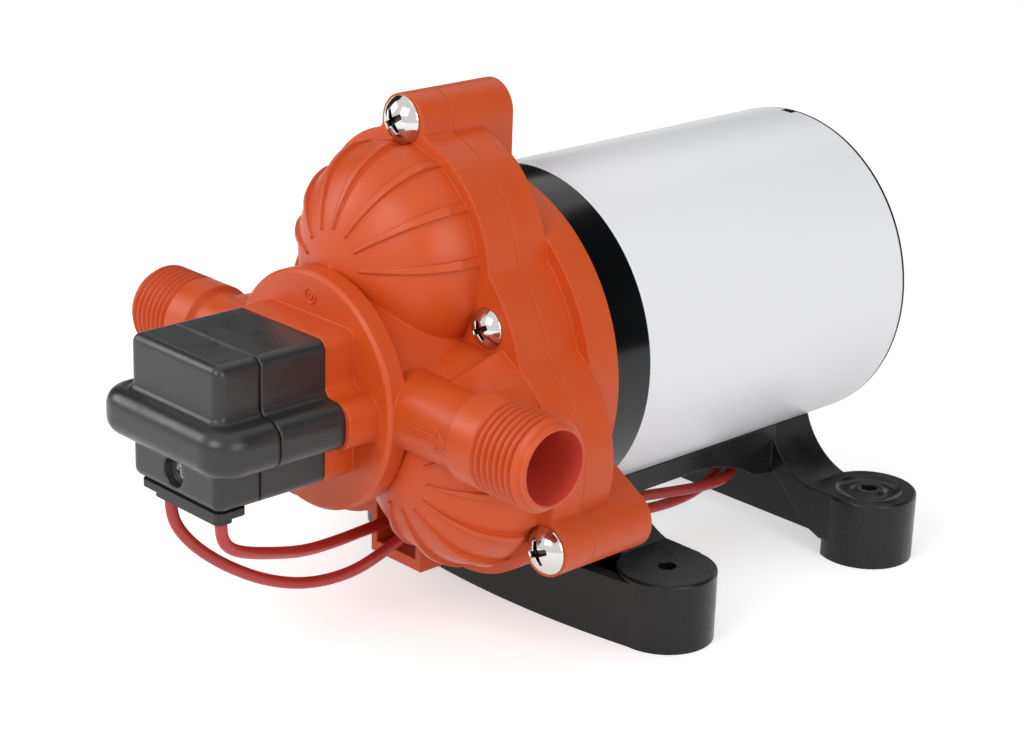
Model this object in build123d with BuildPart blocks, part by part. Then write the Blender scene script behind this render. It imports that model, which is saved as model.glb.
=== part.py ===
from build123d import *
import os
from math import atan2, cos, pi, radians, sin, sqrt, tan

# Diaphragm pump with three chambers, a brushed motor, a pressure switch and a moulded foot frame.
# Millimetres. The motor's axis runs along Y with the motor towards +Y, the ports point to +X and -X,
# and the origin is the centre of the four mounting holes on the surface that the feet stand on.

# Mounting feet
hole_spacing_x = 90.7
hole_spacing_y = 76.3
mount_hole_radius = 2.25
foot_radius = 12.2
foot_height = 17.6
dish_radius = 8.6
dish_depth = 0.9
axis_height = 65.6

# Lengths along the pump, counted from the joint between the two housings
seam = -75.0
flange_thick = 9.0
dome_height = 21.3
collar_setback = 21.5
collar_thick = 5.2
block_length = 8.3
switch_body_length = 17.5
switch_cover_length = 11.5
lower_front_thick = 9.0
lower_rear_thick = 9.0
lower_boss_length = 18.3
bell_length = 14.2
can_length = 93.6
cap_rim_thick = 0.8

flange_front = seam - flange_thick
collar_back = flange_front - collar_setback
collar_front = collar_back - collar_thick
switch_back = collar_front - block_length
switch_split = switch_back - switch_body_length
switch_front = switch_split - switch_cover_length
lower_step = seam + lower_front_thick
bell_front = lower_step + lower_rear_thick
can_front = bell_front + bell_length
can_back = can_front + can_length

# Outline of the housings, about the motor's axis
lobe_offset = 27.0
lobe_radius = 29.3
core_radius = 41.3
boss_offset = 57.4
outer_screw_offset = 58.4
boss_radius = 7.0
dome_offset = 27.5
dome_radius = 26.0
body_radius = 25.0
collar_radius = 27.9
rear_flange_radius = 44.6
rib_count = 7
rib_width = 2.2
rib_tip = 0.5
rib_proud = 1.2
rib_start = 9.0
rib_end = 26.5
rib_spread = 27.0
outline_fillet = 1.5

# Ports: a half inch parallel pipe thread, 14 to the inch
port_y = -101.1
port_z = 66.1
port_end = 69.1
thread_pitch = 1.814
thread_radius = 10.45
thread_depth = 1.16
thread_crests = 7
last_crest = 66.6
port_bore_radius = 8.27
port_bore_end = 42.0
passage_radius = 6.0
stem_radius = 10.4
stem_start = 45.2
neck_radius = 8.9

# Chambers, valves and the wobble drive
chamber_offset = 25.0
cup_radius = 15.3
cup_wall = 2.2
cup_depth = 7.5
cup_floor = 2.5
plate_base = 3.5
plate_lobe = 24.5
plate_core = 27.0
seal_gap = 0.4
seal_width = 1.8
seal_thick = 1.5
outlet_radius = 14.0
outlet_wall = 3.3
outlet_depth = 20.0
inlet_ring_width = 5.0
inlet_ring_depth = 6.0
inlet_passage_radius = 3.2
passage_x = 20.4
pocket_radius = 21.5
pocket_height = 17.0
fit = 0.2
shaft_fit = 0.03
thread_fit = 0.05
running_gap = 0.3
tilt = 3.0
pivot_forward = 0.9
membrane_thick = 1.2
membrane_roll = 14.9
pad_radius = 12.4
pad_thick = 5.0
piston_radius = 12.6
piston_thick = 2.2
piston_screw_radius = 1.5
piston_screw_head = 2.9
piston_screw_length = 7.0
hub_set_back = 3.6
hub_radius = 14.8
hub_length = 9.0
bearing_set_back = 2.8
wobble_bearing_radius = 12.0
wobble_bearing_width = 6.0
journal_radius = 6.0
cam_radius = 9.0
cam_gap = 0.9
cam_flange = 1.4
inlet_valve_offset = 31.5
inlet_valve_radius = 5.6
outlet_valve_radius = 13.0
valve_thick = 0.9
stem_hole_radius = 1.3
port_hole_radius = 1.3
outlet_hole_radius = 1.0
bead_pocket = 3.0
bead_depth = 2.5

# Motor
motor_radius = 41.0
spigot_wall = 1.9
bell_plate = 3.5
can_wall = 2.5
spigot_length = 3.0
cap_plate = 2.6
shaft_radius = 4.0
bearing_radius = 11.0
bearing_width = 7.0
seat_wall = 2.5
core_disc_radius = 31.2
core_front = -28.0
core_length = 54.0
slot_count = 12
slot_width = 4.4
slot_depth = 12.0
winding_length = 6.5
winding_inner = 12.0
commutator_radius = 11.0
commutator_length = 9.0
commutator_gap = 1.5
magnet_inner = 32.2
magnet_length = 64.0
magnet_half_angle = 62.0
brush_width = 6.0
brush_height = 7.0
brush_length = 12.0
brush_spring_length = 3.4
brush_spring_half = 2.0
brush_gap = 0.1
brush_wall = 1.0
holder_thick = 2.0
bolt_offset = 34.2
bolt_radius = 1.9
bolt_head_radius = 3.6
bolt_head_thick = 2.6
notch_width = 4.0
notch_depth = 2.2

# Fasteners
outer_screw_radius = 2.5
outer_head_radius = 5.6
outer_head_height = 3.6
outer_screw_length = 24.0
inner_screw_offset = 34.0
inner_screw_radius = 2.1
inner_head_radius = 4.7
inner_head_height = 3.0
inner_screw_length = 16.0
flange_screw_offset = 36.0
flange_screw_radius = 2.0
flange_head_radius = 3.6
flange_head_height = 2.6
flange_screw_angle = 48.0
base_screw_radius = 2.0
base_head_radius = 3.6
base_head_height = 2.4
base_screw_x = 16.0
base_screw_y = 34.0
set_screw_radius = 1.5

# Foot frame
under_motor = axis_height - motor_radius
arm_near = 26.3
arm_depth = 15.2
arm_top_x = 20.7
arm_foot_x = 34.0
web_thick = 3.0
rail_outer = 22.0
rail_thick = 4.0
rail_bottom = under_motor + 0.6
wall_height = 16.4
wall_thick = 3.2
wall_bow = 54.8
trough_floor = 3.0
saddle_fit = 0.05
lug_step_x = 39.5
lug_step_height = 4.8

# Pressure switch
switch_half_width = 15.8
switch_bottom = 50.0
switch_top = 83.3
switch_corner = 2.4
switch_wall = 2.0
belt_low = 59.6
belt_high = 70.6
belt_half_width = 22.9
belt_front = -153.0
belt_corner = 7.5
belt_rim = 4.2
belt_flare = 2.0
block_flare = 3.2
groove_width = 0.5
groove_depth = 0.7
block_half_width = 15.5
block_top = 83.8
block_belt_half = 24.2
plunger_height = (switch_bottom + switch_top) / 2 + 0.35
switch_disc_radius = 9.0
switch_disc_thick = 1.2
plunger_radius = 4.5
plunger_length = 6.0
adjuster_height = 55.5
adjuster_radius = 2.6
adjuster_length = 11.0
adjuster_hole_radius = 3.55
adjuster_recess = 2.2

# Parts inside the switch
post_x = 6.5
post_radius = 1.45
pin_radius = 1.0
screw_corner_x = 10.6
block_screw_radius = 1.5
block_screw_length = 7.5
lever_gap = 0.4
lever_thick = 1.5
lever_half_width = 4.0
micro_depth = 6.4
micro_gap = 2.4
micro_half_width = 10.0
micro_low = plunger_height - 4.0
micro_high = plunger_height + 6.0
button_radius = 1.2
button_height = plunger_height - 1.0
button_stroke = 2.0

# Wire guide and leads
guide_half_width = 8.9
guide_opening = 7.0
guide_low = 16.2
guide_wall = 2.8
guide_high = 33.0
wire_radius = 1.4
wire_first_x = 12.6
wire_second_x = -5.5
wire_exit_y = -145.0
boot_bottom = 47.0
boot_step = 1.3
boot_centre = 1.0
boot_half = 14.0
grommet_x = 9.0
grommet_y = 25.0
grommet_radius = 5.0
grommet_length = 3.0
grommet_wire_gap = 2.2

os.makedirs("parts", exist_ok=True)


def across(y, height=axis_height):
    """Plane square to the motor's axis, seen from the front: local x is +X and local y is +Z."""
    return Plane(origin=(0, y, height), x_dir=(1, 0, 0), z_dir=(0, -1, 0))


def save(part, name):
    """Label a finished piece and write it under its name."""
    part.label = name
    export_step(part, f"parts/{name}.step")
    print(f"{name:24s} solids {len(part.solids()):2d}  volume {part.volume:10.1f}")


def three(radius):
    """Places of the three chambers, one at the top."""
    return PolarLocations(radius, 3, 90)


def lobed(lobe, core, offset=lobe_offset, boss=0.0):
    """Draw the three-lobed outline in the open sketch, with screw bosses when a boss radius is given."""
    Circle(core)
    with three(offset):
        Circle(lobe)
    if boss > 0:
        with three(boss_offset):
            Circle(boss)
        with three(boss_offset / 2):
            Rectangle(boss_offset, 2 * boss)


def low_dome(radius, height):
    """A flattened dome of two tangent arcs that stands on the XY plane with its pole up."""
    small = 0.89 * height
    large = ((radius - small) ** 2 + height ** 2 - small ** 2) / (2 * (height - small))
    turn = atan2(large - height, radius - small)
    half = (turn + pi / 2) / 2
    middle = (large * cos(turn), height - large + large * sin(turn))
    with BuildPart() as cap:
        with BuildSketch(Plane.XZ):
            with BuildLine():
                ThreePointArc((radius, 0), (radius - small + small * cos(turn / 2), small * sin(turn / 2)), middle)
                ThreePointArc(middle, (large * cos(half), height - large + large * sin(half)), (0, height))
                Line((0, height), (0, 0))
                Line((0, 0), (radius, 0))
            make_face()
        revolve(axis=Axis.Z)
    return cap.part


def dome_with_ribs():
    """One ribbed pump dome, standing on the XY plane with its outer side towards +X."""
    with BuildPart() as bars:
        with BuildSketch(Plane.XY):
            for index in range(rib_count):
                angle = (index - (rib_count - 1) / 2) * rib_spread
                with Locations(Rotation(0, 0, angle)):
                    Polygon((rib_start, -rib_tip / 2), (rib_end, -rib_width / 2), (rib_end, rib_width / 2),
                            (rib_start, rib_tip / 2), align=None)
        extrude(amount=dome_height)
    with BuildPart() as ribs:
        add(low_dome(dome_radius + rib_proud, dome_height + 0.35))
        add(bars.part, mode=Mode.INTERSECT)
    with BuildPart() as dome:
        add(low_dome(dome_radius, dome_height))
        add(ribs.part)
    return dome.part


def around_axis(part, y, offset, count=3, start=90.0):
    """Copies of a piece made on the XY plane, set on the plane at y and spread about the motor's axis."""
    copies = []
    for index in range(count):
        angle = start + index * 360.0 / count
        spot = Location((offset * cos(radians(angle)), offset * sin(radians(angle)), 0), (0, 0, angle))
        copies.append(part.moved(across(y).location * spot))
    return copies


def port_outside():
    """The outlet port and its neck as one turned piece along +X."""
    root = thread_radius - thread_depth
    first_crest = last_crest - (thread_crests - 1) * thread_pitch
    outline = [(10.0, 0.0), (10.0, neck_radius), (stem_start, neck_radius), (stem_start + 1.2, stem_radius)]
    outline.append((first_crest - thread_pitch, stem_radius))
    for index in range(thread_crests):
        crest = first_crest + index * thread_pitch
        outline.append((crest - thread_pitch / 2, root))
        outline.append((crest - 0.15, thread_radius))
        outline.append((crest + 0.15, thread_radius))
    outline.append((last_crest + thread_pitch / 2, root))
    outline.append((port_end - 0.5, root))
    outline.append((port_end, root - 0.5))
    outline.append((port_end, 0.0))
    with BuildPart() as port:
        with BuildSketch(Plane(origin=(0, port_y, port_z), x_dir=(1, 0, 0), z_dir=(0, -1, 0))):
            with BuildLine():
                Polyline(*outline, close=True)
            make_face()
        revolve(axis=Axis((0, port_y, port_z), (1, 0, 0)))
    return port.part


def pan_screw(shank_radius, length, head_radius, head_height):
    """A dome headed screw on the Z axis: the head stands on the XY plane and the shank hangs below it."""
    edge = 0.12 * head_height
    centre = (head_height ** 2 - edge ** 2 - head_radius ** 2) / (2 * (head_height - edge))
    crown = head_height - centre
    half = atan2(head_radius, edge - centre) / 2
    with BuildPart() as screw:
        with BuildSketch(Plane.XZ):
            with BuildLine():
                Line((0, -length), (shank_radius, -length))
                Line((shank_radius, -length), (shank_radius, 0))
                Line((shank_radius, 0), (head_radius, 0))
                Line((head_radius, 0), (head_radius, edge))
                ThreePointArc((head_radius, edge), (crown * sin(half), centre + crown * cos(half)),
                              (0, head_height))
                Line((0, head_height), (0, -length))
            make_face()
        revolve(axis=Axis.Z)
        with BuildSketch(Plane.XY.offset(head_height)):
            Rectangle(0.95 * head_radius, 0.2 * head_radius)
            Rectangle(0.2 * head_radius, 0.95 * head_radius)
        extrude(amount=-0.55 * head_height, mode=Mode.SUBTRACT)
    return screw.part


def ring(outer, inner, back, front):
    """A plain ring about the motor's axis between two stations."""
    with BuildPart() as band:
        with BuildSketch(across(back)):
            Circle(outer)
            if inner > 0:
                Circle(inner, mode=Mode.SUBTRACT)
        extrude(amount=back - front)
    return band.part


def disc_along_y(x, z, radius, back, front):
    """A cylinder parallel to the motor's axis, placed by its true x and z."""
    with BuildPart() as rod:
        with BuildSketch(across(back, 0)):
            with Locations((x, z)):
                Circle(radius)
        extrude(amount=back - front)
    return rod.part


def box_between(low, high):
    """A box between two corners."""
    centre = [(low[i] + high[i]) / 2 for i in range(3)]
    size = [high[i] - low[i] for i in range(3)]
    with BuildPart() as block:
        with Locations(tuple(centre)):
            Box(size[0], size[1], size[2])
    return block.part


def switch_belt():
    """The rounded belt round the pressure switch."""
    with BuildPart() as band:
        with BuildSketch(Plane.XY.offset(belt_low)) as plan:
            with Locations((0, (switch_back + belt_front) / 2)):
                Rectangle(2 * belt_half_width, switch_back - belt_front)
            fillet(plan.vertices().group_by(Axis.Y)[0], belt_corner)
        extrude(amount=belt_high - belt_low)
        rims = band.edges().filter_by(lambda edge: edge.center().Y < switch_back - 0.1)
        fillet(rims.group_by(Axis.Z)[0] + rims.group_by(Axis.Z)[-1], belt_rim)
    return band.part


def belt_flares():
    """Hollow fillets above and below the switch's belt, which lead from its faces onto the belt's round rim."""
    half = (belt_high - belt_low) / 2
    flat = switch_front - belt_front - belt_rim
    rise = sqrt((belt_rim + belt_flare) ** 2 - (belt_flare - flat) ** 2)
    start = half - belt_rim + rise
    share = belt_rim / (belt_rim + belt_flare)
    end = (flat + (belt_flare - flat) * share, half - belt_rim + rise * share)
    turn = (atan2(end[1] - start, end[0] - belt_flare) - pi) / 2
    inset = 1.0
    middle = (belt_low + belt_high) / 2
    with BuildPart() as flares:
        with BuildLine() as path:
            FilletPolyline((switch_half_width, switch_back, middle), (switch_half_width, switch_front, middle),
                           (-switch_half_width, switch_front, middle), (-switch_half_width, switch_back, middle),
                           radius=switch_corner - 0.2)
        with BuildSketch(Plane(origin=(switch_half_width, switch_back, middle), x_dir=(1, 0, 0), z_dir=(0, -1, 0))):
            with BuildLine():
                Polyline(end, (end[0], 0), (-inset, 0), (-inset, start), (0, start))
                ThreePointArc((0, start), (belt_flare + belt_flare * cos(turn), start + belt_flare * sin(turn)), end)
            make_face()
            mirror(about=Plane.XZ)
        sweep(path=path.wires()[0])
    return flares.part


def block_belt():
    """The belt on the front housing's block, which the switch's belt carries on, with its hollow fillets."""
    half = (belt_high - belt_low) / 2
    edge = block_half_width + block_flare
    with BuildPart() as band:
        with BuildSketch(across(collar_front + 1, (belt_low + belt_high) / 2)):
            RectangleRounded(2 * block_belt_half, 2 * half, belt_rim)
            Rectangle(2 * edge, 2 * (half + block_flare))
            with Locations((edge, half + block_flare), (-edge, half + block_flare), (edge, -half - block_flare),
                           (-edge, -half - block_flare)):
                Circle(block_flare, mode=Mode.SUBTRACT)
        extrude(amount=block_length + 1)
    return band.part


def switch_box():
    """The whole outside of the pressure switch before it is parted into body and cover."""
    with BuildPart() as box:
        with BuildSketch(across(switch_back, (switch_bottom + switch_top) / 2)):
            RectangleRounded(2 * switch_half_width, switch_top - switch_bottom, switch_corner)
        extrude(amount=switch_back - switch_front)
        fillet(box.faces().sort_by(Axis.Y)[0].edges(), switch_corner - 0.2)
        add(switch_belt())
        add(belt_flares())
    return box.part


def upper_housing():
    """Front housing: lobed flange, ribbed domes, collar, switch block, both ports and the wire guide."""
    with BuildPart() as housing:
        with BuildSketch(across(seam)) as flange:
            lobed(lobe_radius, core_radius, boss=boss_radius)
            fillet(flange.vertices(), outline_fillet)
        extrude(amount=flange_thick)
        with BuildSketch(across(flange_front + 1)):
            Circle(body_radius)
        extrude(amount=collar_setback + 1.5)
        with BuildSketch(across(collar_back)):
            Circle(collar_radius)
        extrude(amount=collar_thick)
        chamfer(housing.faces().sort_by(Axis.Y)[0].edges(), 0.8)
        for dome in around_axis(dome_with_ribs(), flange_front, dome_offset):
            add(dome)
        port = port_outside()
        add(port)
        add(port.mirror(Plane.YZ))
        with BuildSketch(across(collar_front + 1, (switch_bottom + block_top) / 2)):
            RectangleRounded(2 * block_half_width, block_top - switch_bottom, switch_corner)
        extrude(amount=block_length + 1)
        add(block_belt())
        for side in (-1, 1):
            add(port_ramp(side))
        low = (-guide_half_width, flange_front, guide_low)
        add(box_between(low, (guide_half_width, seam, axis_height - plate_core)))
        for cut in upper_cavities():
            add(cut, mode=Mode.SUBTRACT)
    return housing.part


def port_ramp(side):
    """Sloping shoulder that joins a port's neck to the rim of the lobe beside it."""
    low = port_z - neck_radius + 0.8
    with BuildPart() as ramp:
        for x, neck_top, rim_top in ((34.0, neck_radius - 0.5, 13.0), (43.0, neck_radius - 0.3, 7.3),
                                     (52.0, stem_radius - 0.8, -5.6)):
            with BuildSketch(Plane(origin=(side * x, 0, 0), x_dir=(0, 1, 0), z_dir=(1, 0, 0))):
                Polygon((port_y, low), (port_y, port_z + neck_top), (flange_front + 0.5, port_z + rim_top),
                        (flange_front + 0.5, low), align=None)
        loft(ruled=True)
    return ramp.part


def inlet_space():
    """The three dome pockets and the ring that joins them round the outlet chamber."""
    middle = outlet_radius + outlet_wall
    with BuildPart() as inlet:
        for pocket in around_axis(low_dome(pocket_radius, pocket_height), flange_front, dome_offset):
            add(pocket)
        add(ring(middle + inlet_ring_width, 0, flange_front, flange_front - inlet_ring_depth - 1.0))
        add(ring(middle, 0, flange_front + 1, collar_back), mode=Mode.SUBTRACT)
    return inlet.part


def seam_recess(lobe, core, offset, depth):
    """A three-lobed recess cut forward from the joint between the housings."""
    with BuildPart() as recess:
        with BuildSketch(across(seam)):
            lobed(lobe, core, offset)
        extrude(amount=depth)
    return recess.part


def port_bore(side, inner):
    """The bore of one port and the narrower passage behind it."""
    mouth = Plane(origin=(side * port_end, port_y, port_z), x_dir=(0, 1, 0), z_dir=(-side, 0, 0))
    with BuildPart() as bore:
        with BuildSketch(mouth):
            Circle(port_bore_radius)
        extrude(amount=port_end - port_bore_end)
        with BuildSketch(mouth.offset(port_end - port_bore_end - 1)):
            Circle(passage_radius)
        extrude(amount=port_bore_end + 1 - inner)
    return bore.part


def upper_screw_holes():
    """Screw holes through the front housing's flange."""
    with BuildPart() as holes:
        with BuildSketch(across(seam)):
            with three(outer_screw_offset):
                Circle(outer_screw_radius + thread_fit)
            with Locations(inner_screw_places()[0], inner_screw_places()[1]):
                Circle(inner_screw_radius + thread_fit)
        extrude(amount=flange_thick)
        with BuildSketch(across(flange_front)):
            with three(outer_screw_offset):
                Circle(outer_head_radius + fit)
        extrude(amount=outer_head_height + fit)
    return holes.part


def upper_cavities():
    """Everything cut from the front housing: flow chambers, port bores, screw holes and wire tunnel."""
    recess = cup_depth + cup_floor
    edge = seal_gap + seal_width + fit
    cuts = [seam_recess(plate_lobe + fit, plate_core + fit, lobe_offset, plate_base + fit)]
    cuts.append(seam_recess(plate_lobe + edge, plate_core + edge, lobe_offset, seal_thick))
    cuts.append(seam_recess(cup_radius + cup_wall + fit, outlet_radius + outlet_wall + fit, chamber_offset,
                            recess + fit))
    cuts.append(inlet_space())
    cuts.append(ring(outlet_radius, 0, flange_front, seam - recess - outlet_depth))
    cuts.append(port_bore(-1, passage_x - inlet_passage_radius / 2))
    cuts.append(port_bore(1, outlet_radius / 2))
    cuts.append(disc_along_y(-passage_x, port_z, inlet_passage_radius, flange_front - 1, port_y))
    cuts.append(disc_along_y(0, plunger_height, passage_radius / 2, collar_back + 3, switch_back - 1))
    cuts.append(disc_along_y(0, plunger_height, switch_disc_radius + fit, switch_back + switch_disc_thick,
                             switch_back - 1))
    for x in (-screw_corner_x, screw_corner_x):
        for z in (switch_bottom + 6.5, switch_top - 6.5):
            cuts.append(disc_along_y(x, z, block_screw_radius + thread_fit,
                                     switch_back - switch_wall + block_screw_length, switch_back - 1))
    cuts.append(upper_screw_holes())
    tunnel_low = (-guide_opening, flange_front - 1, guide_low + guide_wall)
    cuts.append(box_between(tunnel_low, (guide_opening, seam + 1, guide_high)))
    return cuts


def inner_screw_places():
    """Places of the two inner housing screws, in the plane across the axis."""
    x = inner_screw_offset * cos(radians(30))
    y = inner_screw_offset * sin(radians(30))
    return ((x, y), (-x, y))


def valve_plate():
    """Plate with three cups for the pistons, inlet holes in each cup and outlet holes in the middle."""
    with BuildPart() as plate:
        with BuildSketch(across(seam)):
            lobed(plate_lobe, plate_core)
        extrude(amount=plate_base)
        with BuildSketch(across(seam)):
            lobed(cup_radius + cup_wall, outlet_radius + outlet_wall, chamber_offset)
        extrude(amount=cup_depth + cup_floor)
        with BuildSketch(across(seam)):
            with three(chamber_offset):
                Circle(cup_radius)
        extrude(amount=cup_depth, mode=Mode.SUBTRACT)
        with BuildSketch(across(seam)):
            Circle(stem_hole_radius)
            with three(inlet_valve_offset):
                Circle(stem_hole_radius)
            with three(inlet_valve_offset):
                with PolarLocations(3.6, 6):
                    Circle(port_hole_radius)
            with three(outlet_radius - 2.6):
                with GridLocations(1, 2.9, 1, 3):
                    Circle(outlet_hole_radius)
        extrude(amount=cup_depth + cup_floor, mode=Mode.SUBTRACT)
        add(ring(bead_pocket, 0, seam, seam - bead_depth), mode=Mode.SUBTRACT)
    return plate.part


def housing_seal():
    """Flat rubber seal that follows the valve plate's edge."""
    with BuildPart() as seal:
        with BuildSketch(across(seam)):
            lobed(plate_lobe + seal_gap + seal_width, plate_core + seal_gap + seal_width)
        extrude(amount=seal_thick - 0.1)
        with BuildSketch(across(seam)):
            lobed(plate_lobe + seal_gap, plate_core + seal_gap)
        extrude(amount=seal_thick, mode=Mode.SUBTRACT)
    return seal.part


def mushroom(radius, stem_length, thick=valve_thick):
    """A rubber umbrella valve: its disc stands on the XY plane and its stem hangs below with a bead."""
    stem = stem_hole_radius - thread_fit
    with BuildPart() as valve:
        with BuildSketch(Plane.XZ):
            with BuildLine():
                Polyline((0, thick), (stem * 1.4, thick), (radius, thick * 0.6), (radius, 0), (stem, 0),
                         (stem, -stem_length), (stem * 1.5, -stem_length), (stem, -stem_length - 2.0),
                         (0, -stem_length - 2.0), close=True)
            make_face()
        revolve(axis=Axis.Z)
    return valve.part


def inlet_valves():
    """Three umbrella valves, each inside a cup, that open as its piston draws back."""
    floor = seam - cup_depth
    turned = mushroom(inlet_valve_radius, cup_floor).rotate(Axis.X, 180)
    with BuildPart() as valves:
        for valve in around_axis(turned, floor, inlet_valve_offset):
            add(valve)
    return valves.part


def outlet_valve():
    """One wide umbrella valve on the front of the valve plate."""
    return mushroom(outlet_valve_radius, cup_depth + cup_floor - bead_depth).moved(
        across(seam - cup_depth - cup_floor).location)


def tilted(distance):
    """Plane of the wobble plate at rest, the given distance behind the wobble centre."""
    slope = radians(tilt)
    centre_y = seam - pivot_forward
    origin = (0, centre_y + distance * cos(slope), axis_height + distance * sin(slope))
    return Plane(origin=origin, x_dir=(1, 0, 0), z_dir=(0, -cos(slope), -sin(slope)))


def diaphragm():
    """Rubber sheet clamped at its rim, raised into three rolls that meet the tilted pads."""
    half = membrane_thick / 2
    with BuildPart() as sheet:
        with BuildSketch(across(seam + membrane_thick)):
            lobed(plate_lobe, plate_core)
        extrude(amount=membrane_thick)
        with BuildSketch(across(seam + membrane_thick)):
            with three(chamber_offset):
                Circle(membrane_roll - 1.0)
        extrude(amount=membrane_thick, mode=Mode.SUBTRACT)
        for index in range(3):
            add(roll(index))
        with BuildSketch(tilted(half)):
            with three(chamber_offset):
                Circle(piston_screw_radius + thread_fit)
        extrude(amount=membrane_thick, both=True, mode=Mode.SUBTRACT)
    return sheet.part


def roll(index):
    """One raised roll of the diaphragm, from the clamped sheet to its tilted pad."""
    angle = radians(90 + index * 120)
    spot = (chamber_offset * cos(angle), chamber_offset * sin(angle))
    half = membrane_thick / 2
    with BuildPart() as inside:
        with BuildSketch(across(seam + membrane_thick)):
            with Locations(spot):
                Circle(membrane_roll - membrane_thick)
        with BuildSketch(tilted(half)):
            with Locations(spot):
                Circle(piston_radius + fit)
        loft(ruled=True)
    with BuildPart() as cap:
        with BuildSketch(across(seam + membrane_thick)):
            with Locations(spot):
                Circle(membrane_roll)
        with BuildSketch(tilted(-half)):
            with Locations(spot):
                Circle(piston_radius + fit)
        loft(ruled=True)
        add(inside.part, mode=Mode.SUBTRACT)
    return cap.part


def pistons():
    """Three discs on the front of the diaphragm, countersunk for their screws."""
    half = membrane_thick / 2
    with BuildPart() as discs:
        with BuildSketch(tilted(-half)):
            with three(chamber_offset):
                Circle(piston_radius)
        extrude(amount=piston_thick)
        for place in screw_planes(-half - piston_thick):
            add(countersunk(piston_screw_radius + thread_fit, piston_screw_length, piston_screw_head + thread_fit)
                .moved(place.location), mode=Mode.SUBTRACT)
    return discs.part


def screw_planes(distance):
    """Planes at the three piston screws, parallel to the tilted wobble plate."""
    planes = []
    base = tilted(distance)
    for index in range(3):
        angle = radians(90 + index * 120)
        origin = base.from_local_coords(Vector(chamber_offset * cos(angle), chamber_offset * sin(angle), 0))
        planes.append(Plane(origin=origin, x_dir=base.x_dir, z_dir=base.z_dir))
    return planes


def countersunk(shank_radius, length, head_radius):
    """A countersunk screw on the Z axis with its flat head at the XY plane."""
    with BuildPart() as screw:
        with BuildSketch(Plane.XZ):
            with BuildLine():
                Polyline((0, 0), (head_radius, 0), (shank_radius, shank_radius - head_radius),
                         (shank_radius, -length), (0, -length), close=True)
            make_face()
        revolve(axis=Axis.Z)
    return screw.part


def piston_screws():
    """Three countersunk screws that clamp piston, diaphragm and wobble plate together."""
    half = membrane_thick / 2
    with BuildPart() as screws:
        for place in screw_planes(-half - piston_thick):
            add(countersunk(piston_screw_radius, piston_screw_length, piston_screw_head).moved(place.location))
    return screws.part


def wobble_plate():
    """Three pads behind the diaphragm, joined by a hub that holds the ball bearing."""
    half = membrane_thick / 2
    with BuildPart() as plate:
        with BuildSketch(tilted(half + pad_thick)):
            with three(chamber_offset):
                Circle(pad_radius)
        extrude(amount=pad_thick)
        with BuildSketch(tilted(hub_set_back + hub_length)):
            Circle(hub_radius)
        extrude(amount=hub_length)
        with BuildSketch(tilted(hub_set_back + hub_length)):
            Circle(wobble_bearing_radius)
        extrude(amount=hub_length - bearing_set_back, mode=Mode.SUBTRACT)
        with BuildSketch(tilted(hub_set_back + hub_length)):
            Circle(journal_radius + 2.0)
        extrude(amount=hub_length - bearing_set_back + 0.8, mode=Mode.SUBTRACT)
        with BuildSketch(tilted(half + pad_thick)):
            with three(chamber_offset):
                Circle(piston_screw_radius + thread_fit)
        extrude(amount=pad_thick, mode=Mode.SUBTRACT)
    return plate.part


def wobble_bearing():
    """Sealed ball bearing between the wobble plate and the cam."""
    start = hub_set_back + bearing_set_back
    with BuildPart() as bearing:
        with BuildSketch(tilted(start + wobble_bearing_width)):
            Circle(wobble_bearing_radius - thread_fit)
            Circle(journal_radius, mode=Mode.SUBTRACT)
        extrude(amount=wobble_bearing_width)
        for face_at in (start + wobble_bearing_width, start + 0.5):
            with BuildSketch(tilted(face_at)):
                Circle(wobble_bearing_radius - 1.8)
                Circle(journal_radius + 1.6, mode=Mode.SUBTRACT)
            extrude(amount=0.5, mode=Mode.SUBTRACT)
    return bearing.part


def cam():
    """Cam on the motor's shaft: its front journal is tilted, and that makes the plate wobble."""
    shoulder = hub_set_back + bearing_set_back + wobble_bearing_width + running_gap
    hub_front = seam - pivot_forward + shoulder + 0.8
    with BuildPart() as piece:
        with BuildSketch(tilted(shoulder)):
            Circle(journal_radius - shaft_fit)
        extrude(amount=wobble_bearing_width + running_gap - 0.2)
        with BuildSketch(tilted(shoulder + cam_flange)):
            Circle(cam_radius - 1.0)
        extrude(amount=cam_flange)
        add(ring(cam_radius, 0, bell_front - cam_gap, hub_front))
        add(ring(shaft_radius + thread_fit / 2, 0, bell_front, seam), mode=Mode.SUBTRACT)
        with BuildSketch(Plane(origin=(0, set_screw_y(), axis_height), x_dir=(1, 0, 0), z_dir=(0, 0, 1))):
            Circle(set_screw_radius + thread_fit)
        extrude(amount=cam_radius + 1, mode=Mode.SUBTRACT)
    return piece.part


def set_screw_y():
    """Station of the cam's set screw."""
    return bell_front - cam_gap - set_screw_radius - 0.9


def cam_set_screw():
    """Headless screw that locks the cam to the shaft."""
    start = axis_height + shaft_radius + 0.1
    with BuildPart() as screw:
        with BuildSketch(Plane(origin=(0, set_screw_y(), start), x_dir=(1, 0, 0), z_dir=(0, 0, 1))):
            Circle(set_screw_radius)
        extrude(amount=cam_radius - shaft_radius - 0.3)
    return screw.part


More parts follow.
